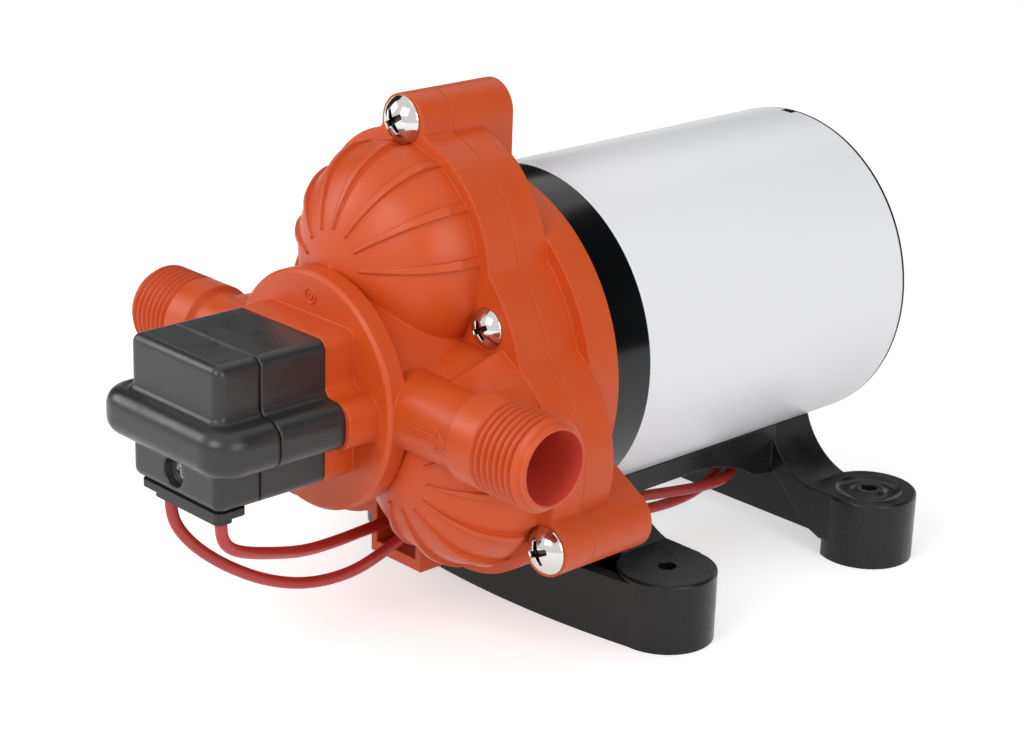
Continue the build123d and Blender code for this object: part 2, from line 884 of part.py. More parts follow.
def lower_housing():
    """Rear housing: lobed front layer, round rear flange, long screw bosses and the drive cavity."""
    with BuildPart() as housing:
        with BuildSketch(across(lower_step)) as front:
            lobed(lobe_radius, core_radius)
            fillet(front.vertices(), outline_fillet)
        extrude(amount=lower_front_thick)
        with BuildSketch(across(bell_front)):
            Circle(rear_flange_radius)
        extrude(amount=lower_rear_thick)
        with BuildSketch(across(seam + lower_boss_length)):
            with three(boss_offset):
                Circle(boss_radius)
            with three((boss_offset + motor_radius + 1) / 2):
                Rectangle(boss_offset - motor_radius - 1, 2 * boss_radius)
        extrude(amount=lower_boss_length)
        with BuildSketch(across(bell_front)):
            lobed(membrane_roll, outlet_radius + outlet_wall, chamber_offset)
        extrude(amount=bell_front - seam, mode=Mode.SUBTRACT)
        with BuildSketch(across(seam + membrane_thick)):
            lobed(plate_lobe + fit, plate_core + fit)
        extrude(amount=membrane_thick, mode=Mode.SUBTRACT)
        with BuildSketch(across(seam + outer_screw_length - flange_thick)):
            with three(outer_screw_offset):
                Circle(outer_screw_radius + thread_fit)
        extrude(amount=outer_screw_length - flange_thick, mode=Mode.SUBTRACT)
        with BuildSketch(across(seam + inner_screw_length - flange_thick)):
            with Locations(inner_screw_places()[0], inner_screw_places()[1]):
                Circle(inner_screw_radius + thread_fit)
        extrude(amount=inner_screw_length - flange_thick, mode=Mode.SUBTRACT)
        with BuildSketch(across(bell_front)):
            with PolarLocations(flange_screw_offset, 3, flange_screw_angle):
                Circle(flange_screw_radius + thread_fit)
        extrude(amount=bell_front - seam, mode=Mode.SUBTRACT)
        with BuildSketch(across(lower_step)):
            with PolarLocations(flange_screw_offset, 3, flange_screw_angle):
                Circle(flange_head_radius + fit)
        extrude(amount=lower_front_thick, mode=Mode.SUBTRACT)
        notch = (-guide_opening, seam - 1, guide_low - 5)
        add(box_between(notch, (guide_opening, lower_step, guide_high)), mode=Mode.SUBTRACT)
        channel = (-guide_opening, lower_step - 1, guide_low - 5)
        add(box_between(channel, (guide_opening, bell_front + 1, under_motor)), mode=Mode.SUBTRACT)
    return housing.part


def placed_screws(screw, y, offset, count=3, start=90.0):
    """Copies of a screw that stand on the plane at y, spread about the axis."""
    with BuildPart() as group:
        for copy in around_axis(screw, y, offset, count, start):
            add(copy)
    return group.part


def inner_housing_screws():
    """The two dome headed screws nearer the middle of the front housing."""
    screw = pan_screw(inner_screw_radius, inner_screw_length - 0.5, inner_head_radius, inner_head_height)
    copies = [screw.moved(across(flange_front).location * Location((x, y, 0), (0, 0, 25)))
              for x, y in inner_screw_places()]
    with BuildPart() as group:
        for copy in copies:
            add(copy)
    return group.part


def front_bell():
    """Front end of the motor: plate with the bearing seat, and the black skirt in front of the can."""
    spigot = motor_radius - can_wall - 0.1
    with BuildPart() as bell:
        add(ring(motor_radius, spigot, can_front, bell_front))
        add(ring(motor_radius, 0, bell_front + bell_plate, bell_front))
        add(ring(spigot + 0.1, spigot - spigot_wall, can_front, can_front - 2.0))
        add(ring(spigot, spigot - spigot_wall, can_front + spigot_length, can_front - 2.0))
        add(ring(bearing_radius + seat_wall, 0, bell_front + bearing_width + 1.0, bell_front))
        add(ring(bearing_radius + thread_fit, 0, bell_front + bearing_width + 1.0, bell_front + 1.0),
            mode=Mode.SUBTRACT)
        add(ring(bearing_radius - 2.0, 0, bell_front + 2.0, bell_front - 1.0), mode=Mode.SUBTRACT)
        with BuildSketch(across(bell_front + bell_plate)):
            with PolarLocations(flange_screw_offset, 3, flange_screw_angle):
                Circle(flange_screw_radius + thread_fit)
            with PolarLocations(bolt_offset, 2, 90):
                Circle(bolt_radius + thread_fit)
        extrude(amount=bell_plate, mode=Mode.SUBTRACT)
    return bell.part


def motor_can():
    """Long steel sleeve of the motor, with two notches at its rear edge and holes for the foot screws."""
    with BuildPart() as can:
        add(ring(motor_radius, motor_radius - can_wall, can_back, can_front))
        for side in (0, 180):
            add(notch_block(side, 0.0), mode=Mode.SUBTRACT)
        for x in (-base_screw_x, base_screw_x):
            for y in (-base_screw_y, base_screw_y):
                add(upright(x, y, base_screw_radius + thread_fit, 0, axis_height), mode=Mode.SUBTRACT)
        add(upright(grommet_x, grommet_y, grommet_radius - 1.5 + thread_fit, 0, axis_height), mode=Mode.SUBTRACT)
    return can.part


def notch_block(angle, clearance):
    """Block that fills a notch at the can's rear edge, at a clock angle."""
    block = box_between((-notch_width / 2 + clearance, can_back - notch_depth + clearance, motor_radius - can_wall),
                        (notch_width / 2 - clearance, can_back, motor_radius + 1))
    return block.rotate(Axis.Y, angle).moved(Location((0, 0, axis_height)))


def upright(x, y, radius, low, high):
    """A vertical cylinder."""
    with BuildPart() as rod:
        with BuildSketch(Plane.XY.offset(low)):
            with Locations((x, y)):
                Circle(radius)
        extrude(amount=high - low)
    return rod.part


def rear_cap():
    """Rear end of the motor: rim, plate, bearing cup and the two tabs that lock into the can."""
    cup_end = rear_bearing_front() + bearing_width
    spigot = motor_radius - can_wall - 0.1
    with BuildPart() as tabs:
        add(notch_block(0, 0.15))
        add(notch_block(180, 0.15))
        add(ring(motor_radius - 0.1, 0, can_back + cap_rim_thick, can_front), mode=Mode.INTERSECT)
    with BuildPart() as cap:
        add(ring(motor_radius - 0.05, 0, can_back + cap_rim_thick, can_back))
        add(ring(spigot, 0, can_back + 0.1, can_back - cap_plate))
        add(ring(spigot, spigot - 2.0, can_back, holder_back()))
        add(ring(bearing_radius + seat_wall, 0, cup_end + 1.6, rear_bearing_front()))
        chamfer(cap.faces().sort_by(Axis.Y)[-1].edges(), 1.2)
        add(tabs.part)
        add(ring(bearing_radius + thread_fit, 0, cup_end, rear_bearing_front() - 1), mode=Mode.SUBTRACT)
        with BuildSketch(across(can_back + cap_rim_thick)):
            with PolarLocations(bolt_offset, 2, 90):
                Circle(bolt_radius + thread_fit)
        extrude(amount=cap_rim_thick + cap_plate, mode=Mode.SUBTRACT)
    return cap.part


def rear_bearing_front():
    """Station of the rear bearing's front face."""
    return can_back - 5.0


def ball_bearing(front):
    """Sealed ball bearing on the motor's shaft."""
    with BuildPart() as bearing:
        add(ring(bearing_radius, shaft_radius + shaft_fit, front + bearing_width, front))
        add(ring(bearing_radius - 1.6, shaft_radius + 1.8, front + 0.5, front), mode=Mode.SUBTRACT)
        add(ring(bearing_radius - 1.6, shaft_radius + 1.8, front + bearing_width, front + bearing_width - 0.5),
            mode=Mode.SUBTRACT)
    return bearing.part


def motor_shaft():
    """Steel shaft from the cam to the rear bearing."""
    front = seam - pivot_forward + hub_set_back + bearing_set_back
    return ring(shaft_radius, 0, rear_bearing_front() + bearing_width - 0.6, front + 0.6)


def armature_core():
    """Stack of laminations with its winding slots."""
    with BuildPart() as core:
        add(ring(core_disc_radius, shaft_radius + shaft_fit / 2, core_front + core_length, core_front))
        with BuildSketch(across(core_front + core_length)):
            with PolarLocations(core_disc_radius - 1.2 - slot_depth / 2, slot_count, 0):
                Rectangle(slot_depth, slot_width)
            with PolarLocations(core_disc_radius - 0.5, slot_count, 0):
                Rectangle(3.0, slot_width / 3)
        extrude(amount=core_length, mode=Mode.SUBTRACT)
    return core.part


def armature_windings():
    """Copper windings: one bundle in each slot and a round end turn at both ends."""
    outer = core_disc_radius - 1.2
    with BuildPart() as coils:
        add(ring(outer, winding_inner, core_front, core_front - winding_length))
        add(ring(outer, winding_inner, core_front + core_length + winding_length, core_front + core_length))
        ends = coils.faces().filter_by(Axis.Y).sort_by(Axis.Y)
        fillet(ends[0].edges() + ends[-1].edges(), winding_length / 3)
        with BuildSketch(across(core_front + core_length + 0.5)):
            with PolarLocations(core_disc_radius - 1.2 - slot_depth / 2, slot_count, 0):
                Rectangle(slot_depth - fit, slot_width - fit)
        extrude(amount=core_length + 1.0)
    return coils.part


def commutator():
    """Copper commutator on its insulating sleeve, with the gaps between its bars."""
    front = commutator_front()
    with BuildPart() as drum:
        add(ring(commutator_radius, shaft_radius + shaft_fit / 2, front + commutator_length, front))
        with BuildSketch(across(front + commutator_length)):
            with PolarLocations(commutator_radius, slot_count, 15):
                Rectangle(2.4, 0.6)
        extrude(amount=commutator_length, mode=Mode.SUBTRACT)
    return drum.part


def commutator_front():
    """Station of the commutator's front face."""
    return core_front + core_length + winding_length + commutator_gap


def magnets():
    """Two curved magnets against the inside of the can."""
    outer = motor_radius - can_wall - thread_fit
    with BuildPart() as pair:
        add(ring(outer, magnet_inner, magnet_length / 2, -magnet_length / 2))
        reach = 2 * motor_radius
        half = radians(magnet_half_angle)
        for side in (1, -1):
            with BuildSketch(across(magnet_length / 2)):
                with BuildLine():
                    Polyline((0, 0), (reach * cos(half), side * reach * sin(half)), (0, side * 2 * reach),
                             (-reach * cos(half), side * reach * sin(half)), close=True)
                make_face()
            extrude(amount=magnet_length, mode=Mode.SUBTRACT)
    return pair.part


def brush_centre():
    """Station of the brushes, over the middle of the commutator."""
    return commutator_front() + commutator_length / 2


def brush_holder():
    """Moulded ring with the two square boxes that guide the brushes."""
    plate_back = holder_back()
    outer = motor_radius - can_wall - 0.15
    side = brush_width / 2 + brush_gap
    depth = brush_height / 2 + brush_gap
    with BuildPart() as holder:
        add(ring(outer, commutator_radius + 1.5, plate_back, plate_back - holder_thick))
        for sign in (1, -1):
            inner = commutator_radius + 1.2
            tube = box_between((inner, brush_centre() - depth - brush_wall, axis_height - side - brush_wall),
                               (brush_back() + 4.5, plate_back, axis_height + side + brush_wall))
            bore = box_between((inner - 1, brush_centre() - depth, axis_height - side),
                               (brush_back() + 3.5, brush_centre() + depth, axis_height + side))
            if sign < 0:
                tube = tube.mirror(Plane.YZ)
                bore = bore.mirror(Plane.YZ)
            add(tube)
            add(bore, mode=Mode.SUBTRACT)
        with BuildSketch(across(plate_back)):
            with PolarLocations(bolt_offset, 2, 90):
                Circle(bolt_radius + 0.4)
        extrude(amount=holder_thick, mode=Mode.SUBTRACT)
    return holder.part


def holder_back():
    """Station of the brush holder's rear face."""
    return brush_centre() + brush_height / 2 + brush_gap + brush_wall + holder_thick


def brush_back():
    """Distance of a brush's outer end from the axis."""
    return commutator_radius + brush_gap + brush_length


def brush_pair(inner, outer, half_width, half_height):
    """Two like blocks on both sides of the commutator."""
    block = box_between((inner, brush_centre() - half_height, axis_height - half_width),
                        (outer, brush_centre() + half_height, axis_height + half_width))
    with BuildPart() as pair:
        add(block)
        add(block.mirror(Plane.YZ))
    return pair.part


def through_bolts():
    """Two long bolts that hold the bell and the cap against the can."""
    head_seat = can_back + cap_rim_thick
    with BuildPart() as bolts:
        with BuildSketch(across(head_seat)):
            with PolarLocations(bolt_offset, 2, 90):
                Circle(bolt_radius)
        extrude(amount=head_seat - bell_front - 0.4)
        with BuildSketch(across(head_seat + bolt_head_thick)):
            with PolarLocations(bolt_offset, 2, 90):
                RegularPolygon(bolt_head_radius, 6)
        extrude(amount=bolt_head_thick)
    return bolts.part


def lead_grommet():
    """Rubber grommet in the underside of the can, where both leads go in."""
    seat = axis_height - sqrt(motor_radius ** 2 - (grommet_x + grommet_radius) ** 2)
    low = grommet_bottom()
    with BuildPart() as grommet:
        add(upright(grommet_x, grommet_y, grommet_radius, low, seat))
        add(ring(motor_radius, 0, can_back, can_front), mode=Mode.SUBTRACT)
        add(upright(grommet_x, grommet_y, grommet_radius - 1.5, low, seat + can_wall))
    return grommet.part


def grommet_bottom():
    """Height of the grommet's lower face."""
    return under_motor - grommet_length + 1.0


def arm_band():
    """Curved arm that rises from one foot to the motor, drawn for the +X side."""
    top = under_motor + 5.9
    bend = foot_height + 0.388 * (top - foot_height)
    with BuildPart() as band:
        with BuildSketch(across(arm_near + arm_depth, 0)):
            with BuildLine():
                Line((hole_spacing_x / 2, foot_height), (arm_foot_x, foot_height))
                ThreePointArc((arm_foot_x, foot_height), (25.6, bend), (arm_top_x, top))
                Polyline((arm_top_x, top), (arm_top_x, top + 6.5), (11, top + 6.5), (11, under_motor),
                         (17, 0.878 * under_motor))
                Spline((17, 0.878 * under_motor), (22.5, 0.744 * under_motor), (27.3, 0.577 * under_motor),
                       (31.1, 0.419 * under_motor), (36, 0.252 * under_motor))
                Polyline((36, 0.252 * under_motor), (lug_step_x, lug_step_height),
                         (hole_spacing_x / 2, lug_step_height), (hole_spacing_x / 2, foot_height))
            make_face()
        extrude(amount=arm_depth)
    return band.part


def side_rail():
    """Rail under the motor on the +X side, with the arch that the leads pass under."""
    end = arm_near + 1.0
    top = under_motor + 8.4
    with BuildPart() as rail:
        with BuildSketch(Plane(origin=(rail_outer, 0, 0), x_dir=(0, 1, 0), z_dir=(1, 0, 0))):
            with BuildLine():
                Polyline((end, top), (-arm_near - arm_depth, top), (-arm_near - arm_depth, rail_bottom),
                         (-3, rail_bottom))
                Spline((-3, rail_bottom), (6.8, rail_bottom - 1.3), (13.2, rail_bottom - 3.4),
                       (19, rail_bottom - 6.3))
                Polyline((19, rail_bottom - 6.3), (end, rail_bottom - 7.7), (end, top))
            make_face()
        extrude(amount=-rail_thick)
    return rail.part


def base():
    """Moulded foot frame: four feet, two bars, four arms and the saddle rails under the motor."""
    half_x = hole_spacing_x / 2
    half_y = hole_spacing_y / 2
    wall_end = half_y + foot_radius
    with BuildPart() as frame:
        for y in (-half_y, half_y):
            add(upright(half_x, y, foot_radius, 0, foot_height))
        fillet(frame.edges().filter_by(GeomType.CIRCLE).group_by(Axis.Z)[-1], 0.8)
        add(box_between((0, arm_near - 3, -1), (lug_step_x, wall_end + 3, lug_step_height)), mode=Mode.SUBTRACT)
        band = arm_band()
        add(band)
        add(band.mirror(Plane.XZ))
        add(side_rail())
        with BuildSketch(across(arm_near + 2.2 + web_thick, 0)):
            Polygon((0, 5), (37, 5), (37, 7.5), (22, under_motor - 4.6), (12, under_motor + 1.4),
                    (0, under_motor + 1.4), align=None)
        extrude(amount=web_thick)
        with BuildSketch(across(-arm_near - arm_depth + web_thick, 0)):
            Polygon((0, 0), (40, 0), (40, 12), (24, under_motor - 5.6), (15, under_motor - 9.1),
                    (0, under_motor - 9.1), align=None)
        extrude(amount=web_thick)
        with BuildSketch(Plane.XY):
            with BuildLine():
                ThreePointArc((half_x, -wall_end), (half_x * 0.55, -wall_end - 0.7 * (wall_bow - wall_end)),
                              (0, -wall_bow))
                Line((0, -wall_bow), (0, -wall_bow + wall_thick))
                ThreePointArc((0, -wall_bow + wall_thick),
                              (half_x * 0.55, -wall_end - 0.7 * (wall_bow - wall_end) + wall_thick),
                              (half_x, -wall_end + wall_thick))
                Line((half_x, -wall_end + wall_thick), (half_x, -wall_end))
            make_face()
        extrude(amount=wall_height)
        with BuildSketch(Plane.XY):
            Polygon((0, -arm_near - arm_depth + 1), (0, -wall_bow + 1), (half_x - 4, -wall_end + 0.6),
                    (half_x - 4, -arm_near - arm_depth + 1), align=None)
        extrude(amount=trough_floor)
        for y in (-base_screw_y, base_screw_y):
            add(upright(base_screw_x, y, base_head_radius + 1.0, base_screw_seat(), under_motor + 7.4))
        mirror(about=Plane.YZ)
        add(ring(motor_radius + saddle_fit, 0, can_back, bell_front - 10), mode=Mode.SUBTRACT)
        for x in (-half_x, half_x):
            for y in (-half_y, half_y):
                add(upright(x, y, mount_hole_radius, -1, foot_height + 1), mode=Mode.SUBTRACT)
        for x in (-half_x, half_x):
            add(dish(x, half_y), mode=Mode.SUBTRACT)
        for x in (-base_screw_x, base_screw_x):
            for y in (-base_screw_y, base_screw_y):
                add(upright(x, y, base_screw_radius + thread_fit, 0, axis_height), mode=Mode.SUBTRACT)
                add(upright(x, y, base_head_radius + fit, 0, base_screw_seat()), mode=Mode.SUBTRACT)
        add(upright(grommet_x, grommet_y, grommet_radius + fit, grommet_bottom() - 1, axis_height),
            mode=Mode.SUBTRACT)
    return frame.part


def base_screw_seat():
    """Height at which the heads of the foot screws seat."""
    return under_motor - 2.6


def dish(x, y):
    """Shallow ring-shaped dish in the top of a rear foot."""
    with BuildPart() as hollow:
        with BuildSketch(Plane(origin=(x, y, 0), x_dir=(1, 0, 0), z_dir=(0, -1, 0))):
            with BuildLine():
                ThreePointArc((3.6, foot_height), ((dish_radius + 3.6) / 2, foot_height - dish_depth),
                              (dish_radius, foot_height))
                Line((dish_radius, foot_height), (3.6, foot_height))
            make_face()
        revolve(axis=Axis((x, y, 0), (0, 0, 1)))
    return hollow.part


def base_screws():
    """Four screws that hold the motor to the foot frame, driven from below."""
    low = base_screw_seat()
    tip = axis_height - sqrt((motor_radius - can_wall) ** 2 - base_screw_x ** 2) - 1.4
    screw = pan_screw(base_screw_radius, tip - low, base_head_radius, base_head_height)
    with BuildPart() as group:
        for x in (-base_screw_x, base_screw_x):
            for y in (-base_screw_y, base_screw_y):
                add(screw.rotate(Axis.X, 180).moved(Location((x, y, low))))
    return group.part


def switch_body():
    """Rear shell of the pressure switch, with the plunger guide, the switch posts and the lever's ears."""
    inner = switch_half_width - switch_wall
    with BuildPart() as body:
        add(switch_box())
        split(bisect_by=Plane(origin=(0, switch_split, 0), x_dir=(1, 0, 0), z_dir=(0, 1, 0)), keep=Keep.TOP)
        room = box_between((-inner, switch_split - 1, switch_bottom + switch_wall),
                           (inner, switch_back - switch_wall, switch_top - switch_wall))
        add(room, mode=Mode.SUBTRACT)
        add(disc_along_y(0, plunger_height, plunger_radius + running_gap, switch_back + 1, switch_split),
            mode=Mode.SUBTRACT)
        for x in (-post_x, post_x):
            add(disc_along_y(x, micro_centre(), post_radius, switch_back - switch_wall, micro_front() + 0.5))
            ear = box_between((min(x, x * 0.8), lever_y() - 2.6, pivot_height() - 2.6),
                              (max(x, x * 0.8), switch_back - switch_wall, pivot_height() + 2.6))
            add(ear)
            add(pin_along_x(pin_radius + thread_fit, abs(x) + 1), mode=Mode.SUBTRACT)
        for x in (-screw_corner_x, screw_corner_x):
            for z in (switch_bottom + 6.5, switch_top - 6.5):
                add(disc_along_y(x, z, block_screw_radius + thread_fit, switch_back + 1, switch_split),
                    mode=Mode.SUBTRACT)
    return body.part


def lever_y():
    """Station of the middle of the lever."""
    return switch_back - running_gap - plunger_length - lever_gap - lever_thick / 2


def pivot_height():
    """Height of the lever's pin."""
    return plunger_height + 11.0


def micro_front():
    """Station of the micro switch's front face."""
    return lever_y() - lever_thick / 2 - micro_gap - micro_depth


def micro_centre():
    """Height of the micro switch's posts."""
    return (micro_low + micro_high) / 2 + 2.0


def pin_along_x(radius, half_length):
    """A pin along X at the lever's pivot."""
    with BuildPart() as pin:
        with BuildSketch(Plane(origin=(-half_length, lever_y(), pivot_height()), x_dir=(0, 1, 0), z_dir=(1, 0, 0))):
            Circle(radius)
        extrude(amount=2 * half_length)
    return pin.part


def switch_cover():
    """Front shell of the pressure switch, with the access hole and the threaded boss of its adjuster."""
    inner = switch_half_width - switch_wall
    with BuildPart() as cover:
        add(switch_box())
        split(bisect_by=Plane(origin=(0, switch_split, 0), x_dir=(1, 0, 0), z_dir=(0, 1, 0)), keep=Keep.BOTTOM)
        room = box_between((-inner, switch_front + switch_wall, switch_bottom + switch_wall),
                           (inner, switch_split + 1, switch_top - switch_wall))
        add(room, mode=Mode.SUBTRACT)
        boss_back = switch_front + adjuster_recess + adjuster_length - 2.5
        add(disc_along_y(0, adjuster_height, adjuster_radius + 2.4, boss_back, switch_front + switch_wall / 2))
        add(disc_along_y(0, adjuster_height, adjuster_radius + thread_fit, boss_back + 1, switch_front),
            mode=Mode.SUBTRACT)
        add(disc_along_y(0, adjuster_height, adjuster_hole_radius, switch_front + adjuster_recess, switch_front - 1),
            mode=Mode.SUBTRACT)
        add(parting_groove(), mode=Mode.SUBTRACT)
    return cover.part


def parting_groove():
    """The narrow groove all round the switch where its cover meets its body."""
    middle = (switch_bottom + switch_top) / 2
    with BuildPart() as groove:
        with BuildSketch(across(switch_split, middle)):
            Rectangle(3 * belt_half_width, 2 * (switch_top - switch_bottom))
            RectangleRounded(2 * (switch_half_width - groove_depth), switch_top - switch_bottom - 2 * groove_depth,
                             switch_corner - groove_depth, mode=Mode.SUBTRACT)
            with Locations((0, (belt_low + belt_high) / 2 - middle)):
                RectangleRounded(2 * (belt_half_width - groove_depth), belt_high - belt_low - 2 * groove_depth,
                                 belt_rim - groove_depth, mode=Mode.SUBTRACT)
        extrude(amount=groove_width)
    return groove.part


def switch_diaphragm():
    """Rubber disc that seals the switch from the water."""
    return disc_along_y(0, plunger_height, switch_disc_radius, switch_back + switch_disc_thick, switch_back)


def switch_plunger():
    """Plunger pushed forward by the rubber disc."""
    front = switch_back - running_gap - plunger_length
    return disc_along_y(0, plunger_height, plunger_radius, switch_back - running_gap, front)


def switch_lever():
    """Flat lever hung on its pin, between plunger, adjusting spring and switch button."""
    with BuildPart() as lever:
        low = (-lever_half_width, lever_y() - lever_thick / 2, adjuster_height - 2.5)
        add(box_between(low, (lever_half_width, lever_y() + lever_thick / 2, pivot_height())))
        with BuildSketch(Plane(origin=(-lever_half_width, lever_y(), pivot_height()), x_dir=(0, 1, 0),
                               z_dir=(1, 0, 0))):
            Circle(pin_radius + 1.1)
        extrude(amount=2 * lever_half_width)
        add(pin_along_x(pin_radius + thread_fit, lever_half_width + 1), mode=Mode.SUBTRACT)
    return lever.part


def micro_switch():
    """Snap-action switch held on two posts."""
    front = micro_front()
    with BuildPart() as block:
        add(box_between((-micro_half_width, front, micro_low), (micro_half_width, front + micro_depth, micro_high)))
        chamfer(block.edges().filter_by(Axis.Y), 0.6)
        for x in (-post_x, post_x):
            add(disc_along_y(x, micro_centre(), post_radius + thread_fit, front + micro_depth, front),
                mode=Mode.SUBTRACT)
        add(disc_along_y(0, button_height, button_radius + thread_fit, front + micro_depth, front + 1.5),
            mode=Mode.SUBTRACT)
    return block.part


def switch_button():
    """Small button of the micro switch."""
    back = micro_front() + micro_depth + micro_gap - lever_gap
    return disc_along_y(0, button_height, button_radius, back, back - micro_gap + lever_gap - button_stroke)


def adjusting_screw():
    """Set screw with a cross recess that trims the switching pressure."""
    head = switch_front + adjuster_recess
    with BuildPart() as screw:
        add(disc_along_y(0, adjuster_height, adjuster_radius, head + adjuster_length, head))
        with BuildSketch(across(head, adjuster_height)):
            Rectangle(0.7, 3.4)
            Rectangle(3.4, 0.7)
        extrude(amount=-1.2, mode=Mode.SUBTRACT)
    return screw.part


def adjusting_spring():
    """Spring between the adjusting screw and the lever, kept as a plain sleeve because it is sealed inside."""
    front = switch_front + adjuster_recess + adjuster_length
    back = lever_y() - lever_thick / 2
    with BuildPart() as spring:
        add(disc_along_y(0, adjuster_height, 2.2, back, front))
        add(disc_along_y(0, adjuster_height, 1.6, back, front), mode=Mode.SUBTRACT)
    return spring.part


def switch_screws():
    """Four screws that hold the switch body to the front housing."""
    screw = pan_screw(block_screw_radius, block_screw_length, 2.6, 1.8)
    seat = across(switch_back - switch_wall, 0).location
    copies = [screw.rotate(Axis.X, 180).moved(seat * Location((x, z, 0), (180, 0, 0)))
              for x in (-screw_corner_x, screw_corner_x) for z in (switch_bottom + 6.5, switch_top - 6.5)]
    with BuildPart() as group:
        for copy in copies:
            add(copy)
    return group.part


def terminals():
    """Two brass tabs of the micro switch."""
    front = micro_front() + 1.5
    with BuildPart() as tabs:
        for x in (-post_x, post_x):
            add(box_between((x - 1.5, front, switch_bottom + switch_wall + 1), (x + 1.5, front + 0.8, micro_low)))
    return tabs.part


def wire_boot():
    """Stepped rubber boot under the cover, where both leads leave."""
    with BuildPart() as boot:
        with BuildSketch(Plane.XY.offset(boot_bottom)):
            with Locations((boot_centre + 1.6, wire_exit_y + 0.2)):
                RectangleRounded(2 * boot_half - 4.6, 4.6, 1.6)
        extrude(amount=switch_bottom - boot_bottom)
        with BuildSketch(Plane.XY.offset(boot_bottom + boot_step)):
            with Locations((boot_centre, wire_exit_y + 1.4)):
                RectangleRounded(2 * boot_half, 8.0, 1.6)
        extrude(amount=switch_bottom - boot_bottom - boot_step)
    return boot.part


def wire(name, points):
    """One lead: straight runs joined by arcs that are as large as their runs allow."""
    turns = []
    for index in range(1, len(points) - 1):
        before = Vector(*points[index]) - Vector(*points[index - 1])
        after = Vector(*points[index + 1]) - Vector(*points[index])
        turn = before.get_angle(after)
        turns.append(0.45 * min(before.length, after.length) / tan(radians(turn / 2)))
    print(name, "radii", [round(turn, 1) for turn in turns])
    with BuildPart() as lead:
        with BuildLine() as path:
            FilletPolyline(*points, radius=turns)
        first = Vector(*points[1]) - Vector(*points[0])
        with BuildSketch(Plane(origin=points[0], z_dir=first)):
            Circle(wire_radius)
        sweep(path=path.line)
    length = path.wire().length
    ratio = lead.part.volume / (pi * wire_radius ** 2 * length)
    print(name, "length", round(length, 1), "volume over section times length", round(ratio, 4))
    return lead.part


wire_a_route = [
    (wire_first_x, wire_exit_y, boot_bottom), (12.6, -145.0, 43.6), (12.6, -143.0, 40.4), (12.2, -138.4, 37.9),
    (9.8, -129.0, 34.3), (6.6, -117.5, 30.4), (1.6, -104.0, 27.3), (-2.6, -91.0, 25.4), (-4.1, -79.5, 25.0),
    (-3.8, -68.0, 22.6), (-2.6, -56.5, 20.4), (0.3, -44.0, 19.0), (4.8, -31.0, 18.2), (9.6, -18.0, 17.6),
    (13.0, -5.0, 17.0), (14.8, 8.0, 15.9), (14.2, 17.5, 15.6), (12.6, 22.6, 16.8),
    (grommet_x + grommet_wire_gap, grommet_y, 19.6), (grommet_x + grommet_wire_gap, grommet_y, grommet_bottom())]
wire_b_route = [
    (wire_second_x, wire_exit_y, boot_bottom), (-5.5, -145.0, 43.2), (-4.4, -143.4, 38.6), (-2.6, -139.0, 33.2),
    (-1.4, -131.0, 27.0), (-0.4, -121.0, 21.4), (0.4, -110.0, 18.0), (1.6, -99.0, 18.0), (3.0, -91.0, 21.2),
    (4.2, -84.5, 24.7), (4.6, -76.0, 25.3), (4.6, -66.5, 22.4), (4.8, -55.0, 19.9), (5.8, -42.0, 18.2),
    (7.4, -29.0, 15.6), (9.0, -15.5, 12.9), (10.0, -2.0, 11.6), (10.0, 10.0, 12.0), (8.8, 18.0, 13.9),
    (7.4, 23.0, 16.8), (grommet_x - grommet_wire_gap, grommet_y, 20.2),
    (grommet_x - grommet_wire_gap, grommet_y, grommet_bottom())]

outer_screw = pan_screw(outer_screw_radius, outer_screw_length - 0.5, outer_head_radius, outer_head_height)
flange_screw = pan_screw(flange_screw_radius, lower_rear_thick + bell_plate - 0.5, flange_head_radius,
                         flange_head_height)

save(upper_housing(), "upper_housing")
save(valve_plate(), "valve_plate")
save(housing_seal(), "housing_seal")
save(inlet_valves(), "inlet_valves")
save(outlet_valve(), "outlet_valve")
save(diaphragm(), "diaphragm")
save(pistons(), "pistons")
save(piston_screws(), "piston_screws")
save(wobble_plate(), "wobble_plate")
save(wobble_bearing(), "wobble_bearing")
save(cam(), "cam")
save(cam_set_screw(), "cam_set_screw")
save(lower_housing(), "lower_housing")
save(placed_screws(outer_screw, flange_front, outer_screw_offset), "outer_housing_screws")
save(inner_housing_screws(), "inner_housing_screws")
save(placed_screws(flange_screw, lower_step, flange_screw_offset, 3, flange_screw_angle), "motor_flange_screws")
save(front_bell(), "front_bell")
save(motor_can(), "motor_can")
save(rear_cap(), "rear_cap")
save(motor_shaft(), "motor_shaft")
save(ball_bearing(bell_front + 1.0), "front_bearing")
save(ball_bearing(rear_bearing_front()), "rear_bearing")
save(armature_core(), "armature_core")
save(armature_windings(), "armature_windings")
save(commutator(), "commutator")
save(magnets(), "magnets")
save(brush_holder(), "brush_holder")
save(brush_pair(commutator_radius + brush_gap, brush_back(), brush_width / 2, brush_height / 2), "brushes")
save(brush_pair(brush_back(), brush_back() + brush_spring_length, brush_spring_half, brush_spring_half), "brush_springs")
save(through_bolts(), "through_bolts")
save(lead_grommet(), "lead_grommet")
save(base(), "base")
save(base_screws(), "base_screws")
save(switch_body(), "switch_body")
save(switch_cover(), "switch_cover")
save(switch_diaphragm(), "switch_diaphragm")
save(switch_plunger(), "switch_plunger")
save(switch_lever(), "switch_lever")
save(pin_along_x(pin_radius, post_x), "lever_pin")
save(micro_switch(), "micro_switch")
save(switch_button(), "switch_button")
save(adjusting_screw(), "adjusting_screw")
save(adjusting_spring(), "adjusting_spring")
save(switch_screws(), "switch_screws")
save(terminals(), "terminals")
save(wire_boot(), "wire_boot")
save(wire("wire_a", wire_a_route), "wire_a")
save(wire("wire_b", wire_b_route), "wire_b")
